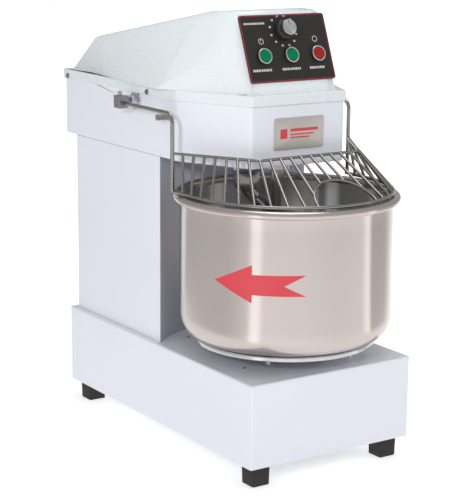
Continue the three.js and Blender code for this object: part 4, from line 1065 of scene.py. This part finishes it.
@dataclass
class BowlSet(Assembly):
    """The spun bowl on its turntable, with the sign-film arrow that shows which way it turns."""

    radius: float = 180.0
    wall: float = 2.0
    bottom: float = 212.0
    corner: tuple[float, float] = (40.0, 44.0)
    fullness: float = 2.4
    bead: float = 7.0
    bead_z: float = 451.5
    ring_radius: float = 154.0
    ring_thick: float = 8.0
    inside_step: int = 57  # profile point at the top of the bead, where the inner wall starts
    # metal share of the inner wall, low so that the painted reflection streaks show as colour
    inside_metal_under_painted_streaks: float = 0.15
    # Painted reflections on the inner wall: brightness of upright streaks, by angle from the machine's front
    # towards its right, in degrees.
    painted_reflection_streaks: tuple[tuple[float, float], ...] = (
        (-179, 0.45), (-175, 1.0), (-170, 1.0), (-165, 0.42), (-140, 0.34), (0, 0.45), (84, 0.34), (88, 0.55),
        (92, 0.32), (112, 0.28), (115, 0.85), (120, 1.0), (122, 0.36), (125, 0.30), (126.5, 1.0), (133, 1.0),
        (142, 0.55), (152, 0.30), (160, 0.40), (168, 0.26), (178, 0.42))

    def corner_profile(self, offset: float, steps: int = 22) -> list[list[float]]:
        """The full round corner: a superellipse quarter from the flat bottom up to the wall.

        Args:
            offset: how far the curve lies inside the outer one.
            steps: how many points it has.

        Returns:
            Radius and height pairs, from the bottom up.
        """
        a = np.linspace(0, np.pi / 2, steps)
        power = 2 / self.fullness
        width, height = self.corner[0] - offset, self.corner[1] - offset
        r = self.radius - self.corner[0] + width * np.abs(np.sin(a)) ** power
        z = self.bottom + self.corner[1] - height * np.abs(np.cos(a)) ** power
        return np.stack([r, z], -1).tolist()

    def profile(self) -> list[list[float]]:
        """The bowl's section from the middle of its underside, over the bead, to the middle inside."""
        bead_r = self.radius - self.wall + self.bead
        walls = [[self.radius, z] for z in np.linspace(262, 440, 10)]
        inner = [[self.radius - self.wall, z] for z in np.linspace(446, 262, 10)]
        floor = [[r, self.bottom] for r in (0, 50, 100, 130)]
        floor_in = [[r, self.bottom + self.wall] for r in (130, 100, 50, 0)]
        return (floor + self.corner_profile(0) + walls + bend(bead_r, self.bead_z, self.bead, -125, 180, 22)
                + inner + self.corner_profile(self.wall)[::-1] + floor_in)

    def build(self) -> None:
        """Builds the bowl, the arrow on it, the turntable and the bolts that join them."""
        shell = Surface().turn(self.profile(), 224, (0, BOWL_Y))
        # the inner wall gets painted reflection streaks by angle
        self.paint_inside_reflections(self.finishes.bowl)
        add_piece("bowl_spun", shell, "bowl", self.finishes.bowl, ["bowl"])
        add_piece("bowl_arrow", self.arrow(), "bowl", self.finishes.vinyl)
        self.turntable()

    def paint_inside_reflections(self, material: Material) -> None:
        """Paints reflections on the inner wall as upright streaks, brighter and duller by angle.

        Args:
            material: the bowl's finish, whose colour gets the painted reflection streaks inside and whose
                metal share drops there.
        """
        levels = round_bowl(material, self.painted_reflection_streaks)
        source = add_node(material, "ShaderNodeTexCoord")
        along = add_node(material, "ShaderNodeSeparateXYZ", None, {"Vector": source.outputs["UV"]})
        steps = np.linalg.norm(np.diff(np.array(self.profile()), axis=0), axis=1).cumsum()
        start = float(steps[self.inside_step]) * MM
        inside = add_node(material, "ShaderNodeMath", {"operation": "GREATER_THAN", 1: start},
                          {0: along.outputs[1]})
        shader = shader_of(material)
        outer = shader.inputs["Base Color"].links[0].from_socket
        colour = add_node(material, "ShaderNodeMix", {"data_type": "RGBA"},
                          {0: inside.outputs[0], 6: outer, 7: levels})
        metal = add_node(material, "ShaderNodeMapRange", {"To Min": 1.0, "To Max": self.inside_metal_under_painted_streaks},
                         {"Value": inside.outputs[0]})
        material.node_tree.links.new(colour.outputs[2], shader.inputs["Base Color"])
        material.node_tree.links.new(metal.outputs[0], shader.inputs["Metallic"])

    def arrow(self) -> Surface:
        """The arrow as strips between a lower and an upper edge, wrapped round the wall by angle."""
        strips = (
            ((-74.9, 337.4, 337.4), (-53.0, 306.6, 368.8)),
            ((-53.0, 320.0, 353.0), (-36.2, 320.0, 354.0)),
            ((-36.2, 336.5, 354.0), (-25.5, 353.9, 354.4)),
            ((-36.2, 320.0, 336.5), (-25.3, 320.0, 320.5)),
        )
        film = Surface()
        r = self.radius + 0.25
        for (a0, low0, high0), (a1, low1, high1) in strips:
            t = np.linspace(0, 1, 24)
            a = np.radians(a0 + (a1 - a0) * t)
            z = np.stack([low0 + (low1 - low0) * t, high0 + (high1 - high0) * t])
            x, y = r * np.sin(a), BOWL_Y - r * np.cos(a)
            film.add(np.stack([np.stack([x, x]), np.stack([y, y]), z], -1))
        return film

    def turntable(self) -> None:
        """Turns the disc under the bowl with its hub and the shaft that goes down into the base."""
        top = self.bottom - SEAM
        low = top - self.ring_thick
        profile = [(0, 81.0), (20, 81.0), (20, 188.3), (32, 188.3), (32, low), (self.ring_radius - 1, low)]
        profile += bend(self.ring_radius - 1, low + 1, 1, -90, 0, 5)
        profile += bend(self.ring_radius - 2.5, top - 2.5, 2.5, 0, 90, 7) + [(0, top)]
        disc = Surface().turn(profile, 200, (0, BOWL_Y))
        add_piece("turntable_turned", disc, "bowl", self.finishes.plated, ["turntable"])
        for number in range(1, 7):
            dress_node(f"bowl_bolt_{number}", self.finishes.zinc)


# --- hook, its spindle and the breaker bar ------------------------------------------------------------------


@dataclass
class Tools(Assembly):
    """The spiral hook under its bright collar, and the fixed breaker bar."""

    hook: tuple[float, float] = (-20.0, -74.0)
    rod: float = 11.0
    spiral: float = 56.0
    tip_z: float = 236.0
    hub_top: float = 481.0
    hub_bottom: float = 452.0
    turns: float = 1.35
    bar: tuple[float, float] = (-17.0, -158.0)
    bar_end: float = 240.0

    def hook_path(self, steps: int = 150) -> tuple[Array, Array]:
        """The hook's centre line: out from the hub, then down round the axis, with its radial directions.

        Args:
            steps: how many points there are along it.

        Returns:
            The points and the unit vectors from the axis towards each of them.
        """
        t = np.linspace(0, 1, steps)
        radius = self.spiral * smoothstep(t, 0.02, 0.3) * (1 - 0.12 * smoothstep(t, 0.82, 1))
        angle = 2 * np.pi * self.turns * np.maximum(0, t - 0.12)
        z = self.hub_bottom + 6 + (self.tip_z + self.rod - self.hub_bottom - 6) * t
        radial = np.stack([np.cos(angle), -np.sin(angle), np.zeros_like(t)], -1)
        path = radial * radius[:, None] + np.stack([np.zeros_like(t), np.zeros_like(t), z], -1)
        return path + np.array([self.hook[0], self.hook[1], 0]), radial

    def build(self) -> None:
        """Builds the hook with its hub, the collar over it, and the breaker bar with its flange."""
        path, radial = self.hook_path()
        hub = [(0, self.hub_bottom), (19.5, self.hub_bottom)]
        hub += bend(20.5, self.hub_bottom + 1.5, 1.5, -60, 0, 4)
        hub += [(22, self.hub_bottom + 3), (22, self.hub_top - 2), (20.5, self.hub_top), (0, self.hub_top)]
        hook = Surface().rod(path, self.rod, radial, 28).turn(hub, 64, self.hook)
        add_piece("spiral_hook_forged", hook, "hook", self.finishes.forged, ["spiral_hook"])
        under = HEAD_UNDERSIDE - SEAM
        collar = [(14.4, under - 24), (27.5, under - 24)] + bend(28, under - 21, 3, -90, 0, 7)
        collar += [(31, under - 3), (30.4, under - 2.4), (31, under - 1.8), (31, under), (26, under),
                   (26, under + 20), (14.4, under + 20), (14.4, under - 24)]
        add_piece("spindle_collar", Surface().turn(collar, 96, self.hook), "frame", self.finishes.plated,
                  ["spindle_housing"])
        self.breaker(under)

    def breaker(self, under: float) -> None:
        """Turns the breaker bar with its rounded end and the flange that bolts under the head.

        Args:
            under: height of the flange's top, just below the head.
        """
        profile = [(0, self.bar_end)] + bend(5, self.bar_end + 4, 4, -90, 0, 8)
        profile += [(9, z) for z in np.linspace(self.bar_end + 8, under - 10, 8)]
        profile += [(18.8, under - 10), (20, under - 8.8), (20, under), (9, under), (9, under + 14),
                    (0, under + 14)]
        add_piece("breaker_bar_ground", Surface().turn(profile, 56, self.bar), "frame", self.finishes.forged,
                  ["breaker_bar"])


# --- wire guard ---------------------------------------------------------------------------------------------


@dataclass
class Guard(Assembly):
    """The welded wire guard over the bowl on its two side arms, with their blocks, flanges and pegs."""

    radius: float = 179.1
    ring_z: float = 463.3
    rail_z: float = 526.8
    arm_x: float = 182.2
    arm_y: float = -94.0
    arm_z: float = 592.0
    rail_half: float = 100.8
    rail_y: float = -229.0
    arch_half: float = 58.0
    arch_rise: float = 0.5
    pivot: tuple[float, float] = (73.0, 594.0)
    peg_place: tuple[float, float] = (-40.0, 579.5)
    head_half: float = 153.0
    block_size: tuple[float, float, float] = (18.0, 20.0, 22.0)
    ring_wire: float = 3.0
    bar_wire: float = 2.5
    arm_wire: float = 3.5
    front_spaces: int = 10
    side_spaces: int = 8

    def ring_point(self, distance: Array) -> Array:
        """Points on the lower ring by distance from its front middle: a half circle, then straight legs.

        Args:
            distance: distance from the front middle, positive towards the right.

        Returns:
            Points of shape (..., 3).
        """
        quarter = self.radius * math.pi / 2
        along = np.abs(distance)
        angle = np.minimum(along, quarter) / self.radius
        leg = np.maximum(0, along - quarter)
        x = np.sign(distance) * self.radius * np.sin(angle)
        y = BOWL_Y - self.radius * np.cos(angle) + leg
        return np.stack([x, y, np.full_like(x, self.ring_z)], -1)

    def ring_end(self) -> float:
        """The distance along the ring from its front middle to the end of a leg."""
        return self.radius * math.pi / 2 + self.arm_y - BOWL_Y

    def bar(self, top: Array, foot: Array) -> Array:
        """A bar from the rail to the ring, cut short where it meets the feeding arch.

        Args:
            top: the bar's point on the rail.
            foot: where it would reach the ring.

        Returns:
            Four points along the bar.
        """
        t = np.linspace(0, 1, 240)
        x = top[0] + (foot[0] - top[0]) * t
        inside = (x / self.arch_half) ** 2 + ((1 - t) / self.arch_rise) ** 2 <= 1
        last = t[np.argmax(inside)] if inside.any() and abs(foot[0]) < self.arch_half else 1.0
        return top + (foot - top) * np.linspace(0, last, 4)[:, None]

    def arm(self, side: int) -> Array:
        """An arm's centre line: level from the block, a round bend, then straight down to the ring.

        Args:
            side: -1 for the left, 1 for the right.

        Returns:
            Points of shape (n, 3).
        """
        r = 16.0
        a = np.linspace(0, np.pi / 2, 14)
        y = np.concatenate([[self.pivot[0] - 5, 20.0], self.arm_y + r - r * np.sin(a), [self.arm_y]])
        z = np.concatenate([[self.arm_z] * 2, self.arm_z - r + r * np.cos(a), [self.ring_z]])
        return np.stack([np.full_like(y, side * self.arm_x), y, z], -1)

    def wires(self) -> Surface:
        """All the wires of the guard, each a closed round bar."""
        up, across = np.array([0.0, 0, 1]), np.array([1.0, 0, 0])
        mesh = Surface()
        ring = self.ring_point(np.linspace(-1, 1, 140) * self.ring_end())
        mesh.rod(ring, self.ring_wire, up)
        rail = np.array([[-self.arm_x, self.arm_y], [-self.rail_half, self.rail_y],
                         [self.rail_half, self.rail_y], [self.arm_x, self.arm_y]])
        rail = self.rounded(np.column_stack([rail, np.full(4, self.rail_z)]), 7.0)
        mesh.rod(rail, self.bar_wire, up)
        angle = np.linspace(0, np.pi, 60)
        x = -self.arch_half * np.cos(angle)
        low = self.ring_point(self.radius * np.arcsin(x / self.radius))
        high = np.stack([x, np.full_like(x, self.rail_y), np.full_like(x, self.rail_z)], -1)
        arch = low + (high - low) * (self.arch_rise * np.sin(angle))[:, None]
        mesh.rod(arch, self.bar_wire, np.array([0.0, 0.9, 0.45]))
        for side in (-1, 1):
            mesh.rod(self.arm(side), self.arm_wire, across)
        corner = self.ring_end() * self.front_spaces / (self.front_spaces + 2 * self.side_spaces)
        for share in np.linspace(-1, 1, self.front_spaces + 1):
            top = np.array([share * self.rail_half, self.rail_y, self.rail_z])
            mesh.rod(self.bar(top, self.ring_point(np.array(share * corner))), self.bar_wire, across)
        for side in (-1, 1):
            for share in np.linspace(0, 1, self.side_spaces + 1)[1:-1]:
                top = np.array([side * (self.rail_half + (self.arm_x - self.rail_half) * share),
                                self.rail_y + (self.arm_y - self.rail_y) * share, self.rail_z])
                foot = self.ring_point(np.array(side * (corner + (self.ring_end() - corner) * share)))
                line = top + (foot - top) * np.linspace(0, 1, 3)[:, None]
                mesh.rod(line, self.bar_wire, across + up * 0.2)
        return mesh

    def rounded(self, corners: Array, radius: float) -> Array:
        """A path through corners, each inner one eased by a quadratic curve that starts a radius away.

        Args:
            corners: points of shape (n, 3).
            radius: how far from a corner its curve starts.

        Returns:
            The eased path's points.
        """
        t = np.linspace(0, 1, 8)[:, None]
        pieces = [corners[:1]]
        for before, here, after in zip(corners[:-2], corners[1:-1], corners[2:]):
            p = here + unit(before - here) * radius
            q = here + unit(after - here) * radius
            pieces.append((1 - t) ** 2 * p + 2 * t * (1 - t) * here + t**2 * q)
        return np.concatenate(pieces + [corners[-1:]])

    def build(self) -> None:
        """Builds the wires, the clamp blocks, the bushing flanges, the pegs and their screws."""
        add_piece("guard_wires", self.wires(), "guard", self.finishes.wire, ["guard_grille"], 60)
        for side, letter in ((-1, "l"), (1, "r")):
            self.block(side, letter)
            self.flange(side, letter)
            self.peg(side, letter)

    def block_rounding(self, ends: Array) -> Array:
        """Breaks the edges between the block's flat sides, known by their lengths, by 1.2 mm.

        Args:
            ends: both ends of each edge, of shape (2, edges, 3).

        Returns:
            Each edge's rounding in mm.
        """
        x = np.abs(ends[..., 0])
        boxed = (x > self.arm_x - 8.4).all(0) & (x[0] < self.arm_x + 10)
        whole = near(length(ends)[:, None], np.array(self.block_size), 0.2).any(1)
        return np.where(boxed & whole, 1.2, 0.0)

    def block(self, side: int, letter: str) -> None:
        """Rounds the clamp block of a side, -1 or 1, and sets a domed cap on its set screw.

        Args:
            side: -1 for the left, 1 for the right.
            letter: the side's letter in the names of its nodes.
        """
        soften_node(f"clamp_block_{letter}", "guard", self.finishes.zinc, self.block_rounding, 1.2)
        y, z = self.pivot
        top = z + 11
        profile = [(0, 0.2), (3.9, 0.2), (3.9, 5.4), (3.2, 6.6), (1.9, 6.9), (1.7, 5.0), (0, 5.0)]
        cap = Surface().turn([(r, top + h) for r, h in profile], 32, (side * (self.arm_x + 0.8), y + 3))
        add_piece(f"set_screw_{letter}", cap, "guard", self.finishes.plated)

    def flange(self, side: int, letter: str) -> None:
        """Turns a side's bushing flange with its bore for the pivot pin, and its four screw heads.

        Args:
            side: -1 for the left, 1 for the right.
            letter: the side's letter in the names of its nodes.
        """
        out = 12.7
        profile = [(6.45, 0), (15.8, 0), (16.4, 0.6), (16.4, 2.2), (15.6, 3.0), (10.2, 3.4), (9.8, 4.2),
                   (9.8, out - 0.8), (9.0, out), (6.45, out), (6.45, 0)]
        disc = Surface().turn(profile, 64)
        for a in np.radians([45, 135, 225, 315]):
            head = [(0, 2.4), (1.9, 2.4), (1.9, 3.8), (1.3, 4.5), (0, 4.7)]
            disc.turn(head, 18, (13.2 * math.cos(a), 13.2 * math.sin(a)))
        add_piece(f"guard_flange_{letter}_turned", disc, "frame", self.finishes.plated,
                  [f"guard_flange_{letter}"], matrix=on_side(side, self.head_half + SEAM, *self.pivot))

    def peg(self, side: int, letter: str) -> None:
        """Turns the stop peg under a side's arm, with a small base washer and a rounded end.

        Args:
            side: -1 for the left, 1 for the right.
            letter: the side's letter in the names of its nodes.
        """
        profile = [(0, 0), (7.0, 0), (7.0, 1.0), (5.2, 1.2), (5.2, 25.2)]
        profile += bend(3.7, 25.2, 1.5, 0, 90, 6) + [(0, 26.7)]
        add_piece(f"stop_peg_{letter}_turned", Surface().turn(profile, 40), "frame", self.finishes.zinc,
                  [f"stop_peg_{letter}"],
                  matrix=on_side(side, self.head_half + SEAM, *self.peg_place))


# --- drive --------------------------------------------------------------------------------------------------


@dataclass
class Drive(Assembly):
    """The hidden drive: CAD nodes that keep their own shape and get their real finishes."""

    iron: tuple[str, ...] = ("bowl_bearing_housing", "drive_plate", "transfer_bearing", "motor_body",
                             "bowl_sprocket", "hook_double_sprocket", "transfer_sprocket", "counter_pulley",
                             "bowl_chain", "transfer_chain", "hook_chain")
    bright: tuple[str, ...] = ("hook_shaft", "transfer_shaft", "countershaft", "motor_rotor")
    black: tuple[str, ...] = ("electrics_box", "guard_switch", "timer_body", "cable_gland")

    def build(self) -> None:
        """Dresses every node of the drive."""
        groups = ((self.iron, self.finishes.iron), (self.bright, self.finishes.zinc),
                  (self.black, self.finishes.black), (("v_belt",), self.finishes.rubber))
        for nodes, material in groups:
            for node in nodes:
                dress_node(node, material)
                LOG.info("%s: dressed as %s", node, material.name)


# --- studio -------------------------------------------------------------------------------------------------


@dataclass(frozen=True)
class SoftBox:
    """One area light: its place, aim, sides in metres, power, beam angle and whether metal mirrors it."""

    name: str
    place: tuple[float, float, float]
    aim: tuple[float, float, float]
    size: tuple[float, float]
    watts: float
    spread_degrees: float = 180
    reflected: bool = False


@dataclass
class Studio:
    """The pale floor, the soft lights and the camera."""

    azimuth: float = -34.417
    elevation: float = 12.931
    roll: float = 0.648
    camera_mm: tuple[float, float, float] = (-1551.7, -2319.5, 945.5)
    lens: float = 115.55
    shift: tuple[float, float] = (-0.0281, 0.0229)
    glow: float = 0.56
    table_centre: tuple[float, float, float] = (0.2, 0.29, 0.0)
    table_radius: float = 0.85
    table_edge: float = 0.1
    # Brightness of the tent's wall round the machine, by angle from its front towards its right, in degrees.
    tent: tuple[tuple[float, float], ...] = (
        (-150, 0.42), (-100, 0.50), (-60, 0.60), (0, 0.56), (60, 0.5), (100, 0.42), (150, 0.42))
    # Brightness of the floor outside the light table: lit strips in front, dull cloth at the sides.
    table: tuple[tuple[float, float], ...] = (
        (-178, 1.35), (-164, 0.60), (-138, 0.66), (-96, 0.70), (-86, 0.80), (-73, 0.95), (-69, 2.1),
        (-62, 2.1), (-58, 1.25), (-20, 1.18), (20, 1.0), (50, 1.05), (56, 1.8), (60.5, 1.8), (63, 0.64),
        (92, 0.60), (122, 1.3), (170, 1.35))
    lights: tuple[SoftBox, ...] = (
        SoftBox("key_left", (-2.1, -1.65, 1.36), (0, 0, 0.7), (0.28, 0.28), 1.7, 50),
        SoftBox("front_left", (-1.6, -2.6, 1.7), (0, 0, 0.6), (1.6, 1.6), 0.5),
        SoftBox("front_right", (1.9, -2.0, 2.1), (0.1, -0.1, 0.4), (0.6, 0.6), 0.9, 70),
        SoftBox("side_left", (-2.6, 0.7, 1.1), (0, 0.1, 0.5), (1.4, 1.4), 2.6),
        SoftBox("top_right", (1.9, 0.2, 1.9), (0.1, -0.1, 0.3), (0.9, 0.9), 4.5),
        SoftBox("overhead", (0.1, 0.0, 2.6), (0, 0, 0), (1.3, 1.3), 14, reflected=True),
    )

    def directions(self) -> tuple[Array, Array, Array]:
        """The camera's right, up and backward unit vectors, from its azimuth, elevation and roll."""
        a, e, r = np.radians([self.azimuth, self.elevation, self.roll])
        back = np.array([np.sin(a) * np.cos(e), -np.cos(a) * np.cos(e), np.sin(e)])
        right = unit(np.cross(-back, [0.0, 0.0, 1.0]))
        up = np.cross(right, -back)
        return np.cos(r) * right + np.sin(r) * up, -np.sin(r) * right + np.cos(r) * up, back

    def build(self) -> None:
        """Builds the camera, the lights, the surroundings and the floor."""
        self.camera()
        for light in self.lights:
            self.light(light)
        self.surroundings()
        self.floor()
        bpy.context.scene.view_settings.view_transform = "Standard"

    def camera(self) -> None:
        """Places the camera by its three directions."""
        data = bpy.data.cameras.new("camera")
        data.sensor_width = 36.0
        data.sensor_fit = "AUTO"
        data.lens = self.lens
        data.shift_x, data.shift_y = self.shift
        data.clip_end = 50.0
        camera = bpy.data.objects.new("camera", data)
        bpy.context.scene.collection.objects.link(camera)
        camera.matrix_world = frame_of(*self.directions(), place(np.array(self.camera_mm)))
        bpy.context.scene.camera = camera

    def light(self, box: SoftBox) -> None:
        """Hangs one soft box, its face turned to what it aims at.

        Args:
            box: the soft box's own values.
        """
        data = bpy.data.lights.new(box.name, "AREA")
        data.shape = "RECTANGLE"
        data.size, data.size_y = box.size
        data.energy = box.watts
        data.spread = math.radians(box.spread_degrees)
        light = bpy.data.objects.new(box.name, data)
        light.visible_glossy = box.reflected
        bpy.context.scene.collection.objects.link(light)
        back = unit(np.array(box.place) - np.array(box.aim))
        right = unit(np.cross([0.0, 0.0, 1.0], back)) if abs(back[2]) < 0.99 else np.array([1.0, 0, 0])
        light.matrix_world = frame_of(right, np.cross(back, right), back, np.array(box.place))

    def surroundings(self) -> None:
        """Hangs a tent round the scene: plain white to look at, and dimmer by angle in what it lights."""
        world = bpy.data.worlds.new("white_tent")
        bpy.context.scene.world = world
        world.use_nodes = True
        world.node_tree.nodes.clear()
        source = add_node(world, "ShaderNodeTexCoord")
        axes = add_node(world, "ShaderNodeSeparateXYZ", None, {"Vector": source.outputs["Generated"]})
        back = add_node(world, "ShaderNodeMath", {"operation": "MULTIPLY", 1: -1.0}, {0: axes.outputs[1]})
        bands = angle_ramp(world, axes.outputs[0], back.outputs[0], self.tent)
        path = add_node(world, "ShaderNodeLightPath")
        seen = add_node(world, "ShaderNodeMix", {"data_type": "FLOAT", 3: 1.0},
                        {0: path.outputs["Is Camera Ray"], 2: bands})
        white = add_node(world, "ShaderNodeBackground", {"Color": WHITE}, {"Strength": seen.outputs[0]})
        add_node(world, "ShaderNodeOutputWorld", None, {"Surface": white.outputs[0]})

    def light_table(self) -> Material:
        """A matt white acrylic table lit from below; beyond it, lit strips and dull cloth that metal mirrors.

        Returns:
            The floor's material.
        """
        material = Finish("matt_white_acrylic_floor", "#DDDDDF", "#DADADC", 500, 3.0, 0.0, (0.8, 0.9)).build()
        levels = round_bowl(material, self.table)
        source = add_node(material, "ShaderNodeTexCoord")
        path = add_node(material, "ShaderNodeLightPath")
        shown = add_node(material, "ShaderNodeMix", {"data_type": "FLOAT", 3: 1.0 / self.glow},
                         {0: path.outputs["Is Camera Ray"], 2: levels})
        away = add_node(material, "ShaderNodeVectorMath", {"operation": "DISTANCE", 1: self.table_centre},
                        {0: source.outputs["Object"]})
        outside = add_node(material, "ShaderNodeMapRange", {"From Min": self.table_radius,
                           "From Max": self.table_radius + self.table_edge}, {"Value": away.outputs["Value"]})
        level = add_node(material, "ShaderNodeMix", {"data_type": "FLOAT", 2: 1.0},
                         {0: outside.outputs[0], 3: shown.outputs[0]})
        glow = add_node(material, "ShaderNodeMath", {"operation": "MULTIPLY", 1: self.glow},
                        {0: level.outputs[0]})
        shader = shader_of(material)
        colour = add_node(material, "ShaderNodeMix", {"data_type": "RGBA", 6: (0, 0, 0, 1)},
                          {0: level.outputs[0], 7: shader.inputs["Base Color"].links[0].from_socket})
        material.node_tree.links.new(colour.outputs[2], shader.inputs["Base Color"])
        shader.inputs["Emission Color"].default_value = WHITE
        material.node_tree.links.new(glow.outputs[0], shader.inputs["Emission Strength"])
        return material

    def floor(self) -> None:
        """Lays a plain white floor, a fine grid so wide that its edge is out of view."""
        line = np.linspace(-9, 9, 5) / MM
        x, y = np.meshgrid(line, line)
        sweep = Surface().add(np.stack([x, y, np.zeros_like(x)], -1))
        mesh = bpy.data.meshes.new("floor")
        mesh.from_pydata(place(sweep.points), [], sweep.faces)
        mesh.materials.append(self.light_table())
        floor = bpy.data.objects.new("floor", mesh)
        bpy.context.scene.collection.objects.link(floor)


# --- the whole machine --------------------------------------------------------------------------------------


def main() -> None:
    """Builds the studio and every sub-assembly."""
    logging.basicConfig(level=logging.INFO, format="%(name)s: %(message)s")
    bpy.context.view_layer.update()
    finishes = Finishes()
    Studio().build()
    for assembly in (Body, Head, ControlPanel, BowlSet, Tools, Guard, Drive):
        LOG.info("building %s", assembly.__name__)
        assembly(finishes).build()


if __name__ == "__main__":
    main()
